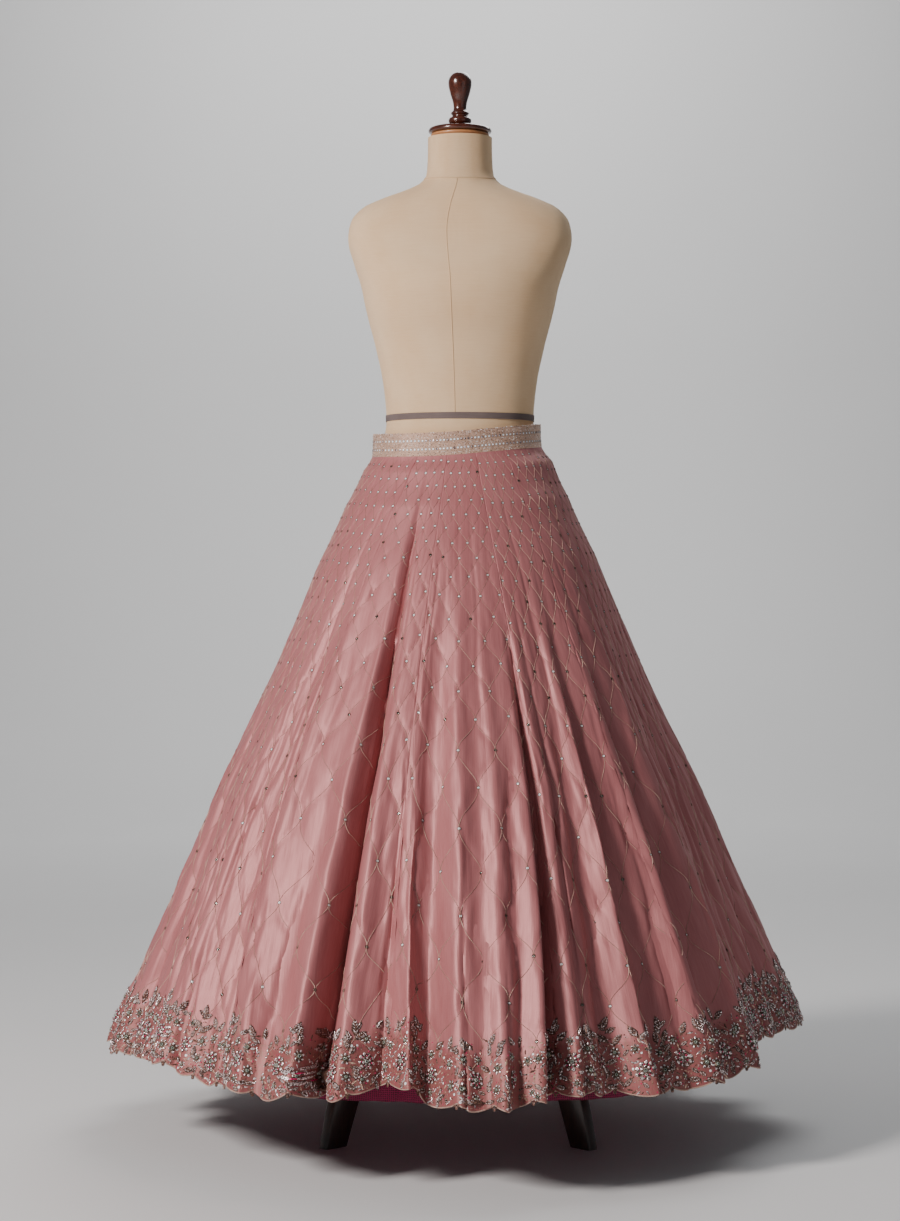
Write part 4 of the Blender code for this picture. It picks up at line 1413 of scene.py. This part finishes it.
def net_material():
    """Magenta can-can net: stiff threads round small gaps painted dark as the shade seen through them."""
    material, tree, shader = new_material("magenta_can_can", 0.62, sheen=0.15)
    place = flat_place(tree)
    edge = cell_edges(tree, place, (340.0, 300.0, 1.0), Randomness=0.22)
    cloud = noise(tree, place, (16.0, 9.0, 1.0), 2.0)
    thread = blend(tree, cloud, (0.34, 0.006, 0.075), (0.56, 0.014, 0.130))
    # Painted shade: the gaps between the threads are coloured near black for the dark inside of the
    # skirt.
    painted_gap_shade = blend(tree, cloud, (0.060, 0.002, 0.018), (0.115, 0.003, 0.032))
    solid = blend(tree, edge, BLACK, WHITE, 0.10, 0.22)
    set_color(tree, shader, mixed(tree, solid, thread, painted_gap_shade))
    bumps(tree, shader, (solid, -0.0004))
    return material


def wood_material(name, dark, light, roughness, coat, stretch):
    """Polished wood with its grain along the longest stretch."""
    material, tree, shader = new_material(name, roughness, coat=coat)
    shader.inputs["Coat Roughness"].default_value = 0.12
    place = solid_place(tree)
    grain = noise(tree, place, stretch, 5.0, 0.62)
    pores = noise(tree, place, tuple(6.0 * value for value in stretch), 2.0)
    tone = blend(tree, grain, dark, light, 0.34, 0.66)
    deep = tuple(0.45 * value for value in dark)
    set_color(tree, shader, mixed(tree, 0.3, tone, blend(tree, pores, deep, light, 0.35, 0.6)))
    bumps(tree, shader, (pores, 0.00010), (grain, 0.00015))
    return material


def plain_floor_material():
    """A pale matt floor with a trace of unevenness."""
    material, tree, shader = new_material("pale_floor", 0.75)
    cloud = noise(tree, solid_place(tree), (0.7, 0.7, 0.7), 3.0)
    set_color(tree, shader, blend(tree, cloud, (0.76, 0.76, 0.76), (0.79, 0.79, 0.79)))
    return material


# ---------------------------------------------------------------- the silk kalis


def kali_cut(number, columns, rows):
    """Columns and heights of one kali's points, rows from the waistband down, and its two maps."""
    first = number * KALI_COLUMNS
    column = first + KALI_COLUMNS * np.linspace(0.0, 1.0, columns + 1)[None, :]
    height = way_height(column, np.linspace(0.0, 1.0, rows + 1)[:, None])
    radius = skirt_base_radius(column_angle(column, height), height)
    across = (column - first - KALI_COLUMNS / 2.0) * math.radians(COLUMN_STEP) * radius
    flat = flat_rows(across + FLAT_STEP * number, height * FLAT_STRETCH)
    above = flat_rows(column * HEM_COLUMN, height - notch_height(column))
    inset = np.clip(column, first + SEAM_GAP, first + KALI_COLUMNS - SEAM_GAP)
    return inset, height, flat, above


def make_kalis(material):
    """The fourteen flared panels."""
    made = []
    for number in range(KALI_COUNT):
        column, height, flat, above = kali_cut(number, SILK_COLUMNS, SILK_ROWS)
        outer = skirt_surface(column, height)
        column, height, flat_back, above_back = kali_cut(
            number, SILK_COLUMNS // LINING_SHARE, SILK_ROWS // LINING_SHARE)
        inner = on_surface(skirt_surface, column, height, -SILK_THICK)
        maps = {"UVMap": np.vstack([flat, flat_back]), "HemMap": np.vstack([above, above_back])}
        made.append(add_piece(f"silk_kali_{number + 1:02d}", walled_sheet(outer, inner), material,
                              f"kali_{number + 1:02d}", maps, sharp=60.0))
    return made


# ---------------------------------------------------------------- the lattice


def dot_place(number, row, dot):
    """Where a kali's dots lie in their rows, in dots from the first seam."""
    return number * LATTICE_ACROSS + dot + LATTICE_SHIFT + 0.5 * (row % 2)


def lattice_dots():
    """Where the mirrors are sewn: columns and heights."""
    kalis, rows, dots = np.arange(KALI_COUNT), np.arange(len(DOT_ROWS)), np.arange(LATTICE_ACROSS)
    number, row, dot = (value.ravel() for value in np.meshgrid(kalis, rows, dots, indexing="ij"))
    column = dot_place(number, row, dot) * KALI_COLUMNS / LATTICE_ACROSS
    height = lattice_height(column, row_share(row + np.array(ROW_SLIPS)[number]))
    shown = lattice_share(column, height) < DOT_END
    return column[shown], height[shown]


def thread_lines(number, rows, steps):
    """Columns and heights along the threads of one kali between rows, and which stretches show."""
    row, dot, side = np.meshgrid(rows, np.arange(-1, LATTICE_ACROSS + 1), (-1.0, 1.0))
    row, dot, side = (value.reshape(-1, 1) for value in (row, dot, side))
    way = np.linspace(0.0, 1.0, steps + 1)[None, :]
    place = dot_place(number, row, dot) + side * thread_swing(way)
    column = place * KALI_COLUMNS / LATTICE_ACROSS
    share = row_share(row + way + ROW_SLIPS[number])
    first = number * KALI_COLUMNS
    inside = (column > first + THREAD_GAP) & (column < first + KALI_COLUMNS - THREAD_GAP)
    inside &= (share > LATTICE_START) & (share < LATTICE_END)
    return column, lattice_height(column, share), inside[:, 1:] & inside[:, :-1]


def thread_shape(column, height, shown):
    """Rounded threads along lines of columns and heights, where they show."""
    middle = skirt_surface(column, height)
    outward = outward_from(skirt_surface, column, height)
    across = unit(np.cross(np.gradient(middle, axis=1), outward))
    share = np.clip(lattice_share(column, height), 0.0, 1.0)
    bold = (THREAD_BOLD + THREAD_GROWTH * share)[..., None]
    half = 0.5 * THREAD_WIDTH * bold
    points = np.stack([
        middle - half * across - THREAD_SINK * outward,
        middle + THREAD_TALL * bold * outward,
        middle + half * across - THREAD_SINK * outward,
    ], axis=2)
    number = np.arange(points.size // 3).reshape(points.shape[:3])
    start, end = number[:, :-1][shown], number[:, 1:][shown]
    faces = []
    for line in range(3):
        after = (line + 1) % 3
        faces.append(np.stack([start[:, line], end[:, line], end[:, after]], axis=1))
        faces.append(np.stack([start[:, line], end[:, after], start[:, after]], axis=1))
    faces = np.vstack(faces)
    used, places = np.unique(faces, return_inverse=True)
    return Shape(points.reshape(-1, 3)[used], places.reshape(faces.shape))


def make_lattice(materials):
    """The couched threads and the mirrors in their rings."""
    parts = []
    short_rows, long_rows = np.arange(-1, LONG_ROW), np.arange(LONG_ROW, len(DOT_ROWS))
    for number in range(KALI_COUNT):
        for rows, steps in ((short_rows, THREAD_STEPS), (long_rows, LONG_STEPS)):
            parts.append(thread_shape(*thread_lines(number, rows, steps)))
    thread = add_piece("lattice_threads", joined(parts), materials["couched_thread"])
    column, height = lattice_dots()
    chance = np.random.default_rng(SEED)
    way = lattice_share(column, height)
    # Painted reflections: each mirror dot is painted glinting or dark, more of them glinting near the
    # waistband.
    glinting_dots = chance.random(len(column)) < DOT_GLINT_SHARE - DOT_GLINT_LOSS * way
    spots = Spots(column, height, DOT_SIZE + DOT_GROWTH * way, np.zeros(len(column)))
    rings = scatter(skirt_surface, DOT_RING, spots)
    made = [thread, add_piece("lattice_rings", rings, materials["bronze_beads"])]
    for name, chosen in (("mirror_bright", glinting_dots), ("mirror_painted_dark_reflection", ~glinting_dots)):
        few = chosen_spots(spots._replace(size=DOT_MIRROR * spots.size), chosen)
        made.append(add_piece(f"lattice_{name}", scatter(skirt_surface, GLASS, few), materials[name]))
    return made


# ---------------------------------------------------------------- the waistband


def band_surface(column, height):
    """Points of the waistband's outer face."""
    angle = FIRST_SEAM + column * COLUMN_STEP
    return polar(angle, skirt_base_radius(angle, height), height)


def band_row(share, pitch, size, chance=None):
    """Spots in a row round the waistband, moved a little by chance."""
    count = int(BAND_GIRTH / pitch)
    column = np.arange(count) * ROUND_COLUMNS / count
    turn = np.zeros(count)
    if chance is not None:
        column = column + chance.uniform(-BEAD_STRAY, BEAD_STRAY, count) * ROUND_COLUMNS / count
        share = share + chance.uniform(-BEAD_RISE, BEAD_RISE, count)
        turn = chance.uniform(0.0, 90.0, count)
    return Spots(column, band_height(column, share), np.full(count, size), turn)


def chosen_spots(spots, chosen):
    """Those of the spots that are chosen."""
    return Spots(*(value[chosen] for value in spots))


def band_trim():
    """The band's seed beads and mirrors: lists of shapes under their finishes."""
    chance = np.random.default_rng(SEED)
    heaps = defaultdict(list)
    for share in BAND_BEAD_ROWS:
        spots = band_row(share, BEAD_PITCH, BEAD_SIZE, chance)
        drawn = chance.choice(BAND_FINISHES, len(spots.column), p=BAND_FINISH_SHARES)
        for finish in np.unique(drawn):
            few = chosen_spots(spots, drawn == finish)
            heaps[finish].append(scatter(band_surface, BEAD, few))
    for share in BAND_MIRROR_ROWS:
        spots = band_row(share, MIRROR_PITCH, MIRROR_RING)
        heaps["bronze_beads"].append(scatter(band_surface, DOT_RING, spots))
        glass = spots._replace(size=MIRROR_SHARE * spots.size)
        # Painted reflections: some band mirrors are painted glinting, the rest take the silver beads'
        # finish.
        glinting_mirrors = chance.random(len(spots.column)) < MIRROR_GLINT_SHARE
        for finish, chosen in (("mirror_bright", glinting_mirrors), ("silver_beads", ~glinting_mirrors)):
            few = chosen_spots(glass, chosen)
            heaps[finish].append(scatter(band_surface, GLASS, few, -MIRROR_PROUD))
    return heaps


def make_band(materials):
    """The beaded waistband: its ground and its trim."""
    column = np.arange(ROUND_COLUMNS, dtype=float)[None, :] + np.zeros((BAND_ROWS, 1))
    share = np.linspace(0.0, 1.0, BAND_ROWS)[:, None]
    height = band_height(column, share)
    outer = on_surface(band_surface, column, height, BAND_PROUD)
    inner = on_surface(band_surface, column, height, BAND_PROUD - BAND_THICK)
    along = round_trip(column, ROUND_COLUMNS) * BAND_GIRTH / ROUND_COLUMNS
    flat = np.tile(flat_rows(along, -BAND_TALL * share), (2, 1))
    ground = add_piece("band_tissue", walled_ring(outer, inner), materials["band_tissue"],
                       replaced="waistband", maps={"UVMap": flat})
    return ground, add_heaps("band", band_trim(), materials)


# ---------------------------------------------------------------- the embroidered hem


class Room:
    """Which places on the cloth are taken, so that motifs keep clear of each other."""

    def __init__(self):
        self.places = []
        self.radii = []

    def take(self, points, radii):
        """Keep places that are known to be clear."""
        self.places.extend(points)
        self.radii.extend(radii)

    def choose(self, points, radius):
        """Keep those of the points, in order, that are clear of all that is taken."""
        tree = mathutils.kdtree.KDTree(len(self.places))
        for number, place in enumerate(self.places):
            tree.insert(place, number)
        tree.balance()
        widest = max(self.radii)
        cells = {}
        chosen = []
        for number, point in enumerate(points):
            near = tree.find_range(point, radius + widest)
            if any(far < radius + self.radii[other] for _, other, far in near):
                continue
            cell = tuple(int(value // (2.0 * radius)) for value in point)
            around_it = [tuple(cell[axis] + step[axis] for axis in range(3)) for step in NEIGHBOURS]
            close = [other for key in around_it for other in cells.get(key, ())]
            if any(math.dist(point, other) < 2.0 * radius for other in close):
                continue
            cells.setdefault(cell, []).append(tuple(point))
            chosen.append(number)
        self.take(points[chosen], [radius] * len(chosen))
        return chosen


NEIGHBOURS = [(x, y, z) for x in (-1, 0, 1) for y in (-1, 0, 1) for z in (-1, 0, 1)]


def repeat_motifs(chance):
    """The drawn motifs of every repeat, each a little different: kind and spot values."""
    repeat = 2 * SCALLOP_COLUMNS
    made = defaultdict(list)
    for number in range(ROUND_COLUMNS // repeat):
        mirrored = -1.0 if number % 2 else 1.0
        for motif in MOTIFS:
            column = (number + 0.5) * repeat + mirrored * motif.column
            column = column + chance.uniform(-MOTIF_STRAY, MOTIF_STRAY)
            height = motif.height + chance.uniform(*MOTIF_RISE)
            size = motif.size * chance.uniform(*MOTIF_SIZES)
            turn = mirrored * motif.turn + chance.uniform(-MOTIF_TURN, MOTIF_TURN)
            made[motif.kind].append((column, height, size, turn))
    return {kind: np.array(rows).T for kind, rows in made.items()}


def make_border(materials):
    """The hem's embroidery: drawn motifs, then small leaves and beads in the gaps."""
    chance = np.random.default_rng(SEED)
    room = Room()
    heaps = defaultdict(list)

    def heap(finish, shape, spots):
        heaps[finish].append(scatter(skirt_surface, shape, spots))

    def lay(kind, spots):
        if kind in KINDS:
            for finish, shape in KINDS[kind].items():
                heap(finish, shape, spots)
            return
        shape, finishes = LOOSE[kind]
        choice = chance.integers(0, len(finishes), len(spots.column))
        for number, finish in enumerate(finishes):
            few = chosen_spots(spots, choice == number)
            if len(few.column):
                heap(finish, shape, few)

    for kind, (column, above, size, turn) in repeat_motifs(chance).items():
        spots = Spots(column, notch_height(column) + above, size, turn)
        lay(kind, spots)
        room.take(skirt_surface(spots.column, spots.height), size * ROOM_SHARES[kind])
    for fill in FILLS:
        column = chance.uniform(0.0, ROUND_COLUMNS, fill.tries)
        above = fill.limit * chance.random(fill.tries) ** FILL_CROWDING
        kept = chance.random(fill.tries) > (above / fill.limit) ** FILL_THINNING
        column, above = column[kept], above[kept]
        height = notch_height(column) - SCALLOP_DROP * scallop(column) * (1 - above / fill.limit)
        height = height + FILL_RISE + above
        chosen = room.choose(skirt_surface(column, height), fill.room)
        size = fill.size * chance.uniform(*FILL_SIZES, len(chosen))
        turn = chance.uniform(0.0, 360.0, len(chosen))
        lay(fill.kind, Spots(column[chosen], height[chosen], size, turn))
    return add_heaps("border", heaps, materials)


def make_hem_edge(materials):
    """The cord along the scallops, and small leaves that hang from their notches."""
    column = np.arange(0.0, ROUND_COLUMNS, CORD_STEP)
    height = way_height(column, 1.0) + CORD_LIFT
    path = on_surface(skirt_surface, column, height, -CORD_SINK)
    cord = round_cord(path, outward_from(skirt_surface, column, height), CORD_RADIUS)
    edge = add_piece("border_cord", cord, materials["beige_cord"])
    notch = np.arange(0.0, ROUND_COLUMNS, SCALLOP_COLUMNS)
    parts = []
    for leaf in NOTCH_LEAVES:
        spots = Spots(notch + leaf.aside, notch_height(notch) - leaf.low,
                      np.full(len(notch), leaf.size), np.full(len(notch), leaf.turn))
        parts.append(scatter(skirt_surface, CUP, spots))
    return [edge, add_piece("border_points", joined(parts), materials["bronze_beads"])]


# ---------------------------------------------------------------- the net underskirt


def make_net(material):
    """The stiff net that holds the skirt out, its lower edge softly frilled."""
    round_angle = 360.0 * np.arange(ROUND_COLUMNS)[None, :] / ROUND_COLUMNS
    angle = FIRST_SEAM + round_angle + np.zeros((NET_ROWS, 1))
    level = np.linspace(NET[0].height, NET[-1].height, NET_ROWS)[:, None]
    wave = smooth_value(NET, "wave", level)
    inset = smooth_value(NET, "inset", level)
    height = level + band_tilt(angle) * (1.0 - wave)
    turn = np.radians(angle - FIRST_SEAM)
    swing = NET_WAVE * wave * np.cos(KALI_COUNT * turn)
    sway_round = NET_FRILL_SWAY * np.sin(NET_FRILL_SWAYS * turn)
    swing = swing + NET_FRILL * wave ** 3 * np.sin(NET_FRILLS * turn + sway_round)
    radius = skirt_base_radius(angle, height) - inset - swing
    outer = polar(angle, radius, height)
    inner = polar(angle, radius - NET_THICK, height)
    flat = flat_rows(round_trip(turn, 2.0 * np.pi) * NET_FLAT_RADIUS, height * NET_FLAT_STRETCH)
    return add_piece("net_cloth", walled_ring(outer, inner), material,
                     "net_underskirt", {"UVMap": np.tile(flat, (2, 1))})


# ---------------------------------------------------------------- the dress form and its stand


def form_points(angle, height, out):
    """Points of the dress form's face, moved out."""
    side, front, back, power = (smooth_value(FORM, name, height) for name in FORM[0]._fields[1:])
    across, along = np.sin(np.radians(angle)), np.cos(np.radians(angle))
    depth = np.where(along > 0.0, front, back)
    return np.stack([
        (side + out) * np.sign(across) * np.abs(across) ** power,
        -(depth + out) * np.sign(along) * np.abs(along) ** power,
        height + 0.0 * across,
    ], axis=-1) + AXIS


def make_form(materials):
    """The linen-covered form, its seams and its waist tape."""
    angle = 360.0 * np.arange(FORM_COLUMNS)[None, :] / FORM_COLUMNS
    turn = np.radians(round_trip(angle, 360.0))
    height = np.linspace(FORM[0].height, FORM[-1].height, FORM_ROWS)[:, None]
    flat = np.vstack([flat_rows(turn * FORM_FLAT_RADIUS, height), FORM_CAP_MAPS])
    cover = add_piece("form_cover", capped_tube(form_points(angle + 0.0 * height, height, 0.0)),
                      materials["cream_linen_cloth"], "form_torso", {"UVMap": flat})
    level = NECK_SEAM - NECK_SEAM_DIP * np.cos(np.radians(angle[0]))
    path = form_points(angle[0], level, TAPE_GAP)
    outward = unit((path - AXIS) * (1.0, 1.0, 0.0))
    add_piece("form_neck_seam", round_cord(path, outward, NECK_SEAM_RADIUS),
              materials["cream_linen_cord"])
    down = np.linspace(level[0], TAPE_HEIGHT + 0.5 * TAPE_TALL, FRONT_SEAM_ROWS)
    rings = form_points(FRONT_SEAM_ANGLE + 0.0 * down, down, 0.0)[:, None, :]
    rings = rings + around(CORD_SIDES, FRONT_SEAM_RADIUS)[None, :, :]
    add_piece("form_front_seam", capped_tube(rings), materials["cream_linen_cord"])
    height = TAPE_HEIGHT + TAPE_TALL * np.array(TAPE_ROWS)[:, None]
    outer = form_points(angle + 0.0 * height, height, TAPE_GAP + TAPE_WALL)
    inner = form_points(angle + 0.0 * height, height, TAPE_GAP)
    flat = np.tile(flat_rows(turn * TAPE_FLAT_RADIUS, height), (2, 1))
    tape = add_piece("form_tape", walled_ring(outer, inner), materials["grey_tape_cloth"],
                     "form_waist_tape", {"UVMap": flat})
    return cover, tape


def smooth_line(points, steps):
    """A Catmull-Rom line through points, with this many steps between each two."""
    points = np.array(points, dtype=float)
    padded = np.vstack([points[0], points, points[-1]])
    line = []
    for number in range(len(points) - 1):
        for share in np.arange(steps) / steps:
            line.append(catmull_rom(*padded[number:number + 4], share))
    return np.array(line + [points[-1]])


def make_turned(name, profile, material, replaced, steps):
    """A turned piece on the form's axis."""
    line = smooth_line(profile, steps)[::-1]
    angle = 360.0 * np.arange(TURNED_SIDES)[None, :] / TURNED_SIDES
    radius = line[:, :1] + 0.0 * angle
    return add_piece(name, capped_tube(polar(angle, radius, line[:, 1:])), material, replaced)


def make_leg(number, angle, material):
    """One curved board leg with rounded edges, from the hub out to its level foot."""
    line = smooth_line(LEG, LEG_STEPS)
    slope = np.gradient(line[:, :2], axis=0)
    slope[0], slope[-1] = (1.0, 0.0), (0.0, -1.0)
    slope = unit(slope)
    up = np.stack([-slope[:, 1], slope[:, 0]], axis=1)
    half_thick, half_deep = LEG_THICK / 2.0, line[:, 2] / 2.0
    inner = half_thick - LEG_ROUNDING
    section = []
    for turn in np.radians(360.0 / LEG_SIDES * (np.arange(LEG_SIDES) + 0.5)):
        aside = math.copysign(inner, math.cos(turn)) + LEG_ROUNDING * math.cos(turn)
        rise = np.sign(math.sin(turn)) * (half_deep - LEG_ROUNDING) + LEG_ROUNDING * math.sin(turn)
        section.append((aside, rise))
    out = np.array([math.sin(math.radians(angle)), -math.cos(math.radians(angle)), 0.0])
    across = np.array([-out[1], out[0], 0.0])
    rings = []
    for aside, rise in section:
        reach = line[:, 0] + up[:, 0] * rise
        height = np.maximum(line[:, 1] + up[:, 1] * rise, 0.0)
        rings.append(AXIS + reach[:, None] * out + aside * across + height[:, None] * UP)
    rings = np.stack(rings, axis=1)
    return add_piece(f"leg_{number}", capped_tube(rings), material,
                     f"stand_leg_{number}")


def make_stand(materials):
    """The neck's wooden pieces, the pole, its hub and four legs."""
    for turned in TURNED:
        make_turned(turned.name, turned.profile, materials[turned.material],
                    turned.replaced, turned.steps)
    for number, angle in enumerate(LEG_ANGLES, start=1):
        make_leg(number, angle, materials["dark_wood_grain"])


# ---------------------------------------------------------------- stage


def add_light(light):
    """A square soft light that faces its aim, or the middle of the skirt."""
    lamp = bpy.data.lights.new(light.name, "AREA")
    lamp.size, lamp.energy, lamp.color = light.size, light.power, light.color
    made = in_scene(light.name, lamp)
    made.location = light.place
    aim = mathutils.Vector(light.aim or (AXIS[0], AXIS[1], LIT_HEIGHT))
    made.rotation_euler = (aim - made.location).to_track_quat("-Z", "Y").to_euler()


def make_floor():
    """A pale floor that curves up behind."""
    bend = np.linspace(0.0, np.pi / 2.0, BEND_ROWS + 1)[1:]
    reach = np.concatenate([
        np.linspace(-FLOOR_HALF, FLOOR_BACK, FLOOR_ROWS),
        FLOOR_BACK + FLOOR_BEND * np.sin(bend),
        np.full(WALL_ROWS, FLOOR_BACK + FLOOR_BEND),
    ])
    rise = np.concatenate([
        np.zeros(FLOOR_ROWS),
        FLOOR_BEND - FLOOR_BEND * np.cos(bend),
        np.linspace(FLOOR_BEND, FLOOR_TOP, WALL_ROWS + 1)[1:],
    ])
    across = np.linspace(-FLOOR_HALF, FLOOR_HALF, FLOOR_COLUMNS)
    points = np.stack(np.broadcast_arrays(across[None, :], reach[:, None], rise[:, None]), axis=-1)
    floor = in_scene("floor", smooth_mesh("floor", grid(points[::-1]), plain_floor_material()))


def make_stage():
    """The floor, soft lights and the camera."""
    make_floor()
    world = bpy.data.worlds.new("studio")
    bpy.context.scene.world = world
    world.use_nodes = True
    set_inputs(world.node_tree, world.node_tree.nodes["Background"], {
        "Color": WORLD_COLOR, "Strength": WORLD_STRENGTH,
    })
    for light in LIGHTS:
        add_light(light)
    lens = bpy.data.cameras.new("camera")
    lens.sensor_fit = "VERTICAL"
    lens.sensor_height = SENSOR
    lens.lens = LENS
    camera = in_scene("camera", lens)
    camera.location = (AXIS[0] + CAMERA_ASIDE, AXIS[1] - CAMERA_BACK, CAMERA_HEIGHT)
    camera.rotation_euler = (math.radians(90.0), 0.0, 0.0)
    bpy.context.scene.camera = camera


def make_materials():
    """Every material by name."""
    made = {name: bead_material(name) for name in FINISHES if name not in THREADS}
    made.update((name, thread_material(name)) for name in THREADS)
    made["pink_silk_cloth"] = silk_material()
    made["band_tissue"] = band_material()
    made["magenta_can_can"] = net_material()
    made.update((name, woven_material(name, *weave)) for name, weave in WEAVES.items())
    made.update((name, wood_material(name, *wood)) for name, wood in WOODS.items())
    return made


def main():
    """Build every piece and the stage."""
    materials = make_materials()
    kalis = make_kalis(materials["pink_silk_cloth"])
    lattice = make_lattice(materials)
    band, band_trim = make_band(materials)
    border = make_border(materials) + make_hem_edge(materials)
    net = make_net(materials["magenta_can_can"])
    cover, tape = make_form(materials)
    make_stand(materials)
    make_stage()


main()
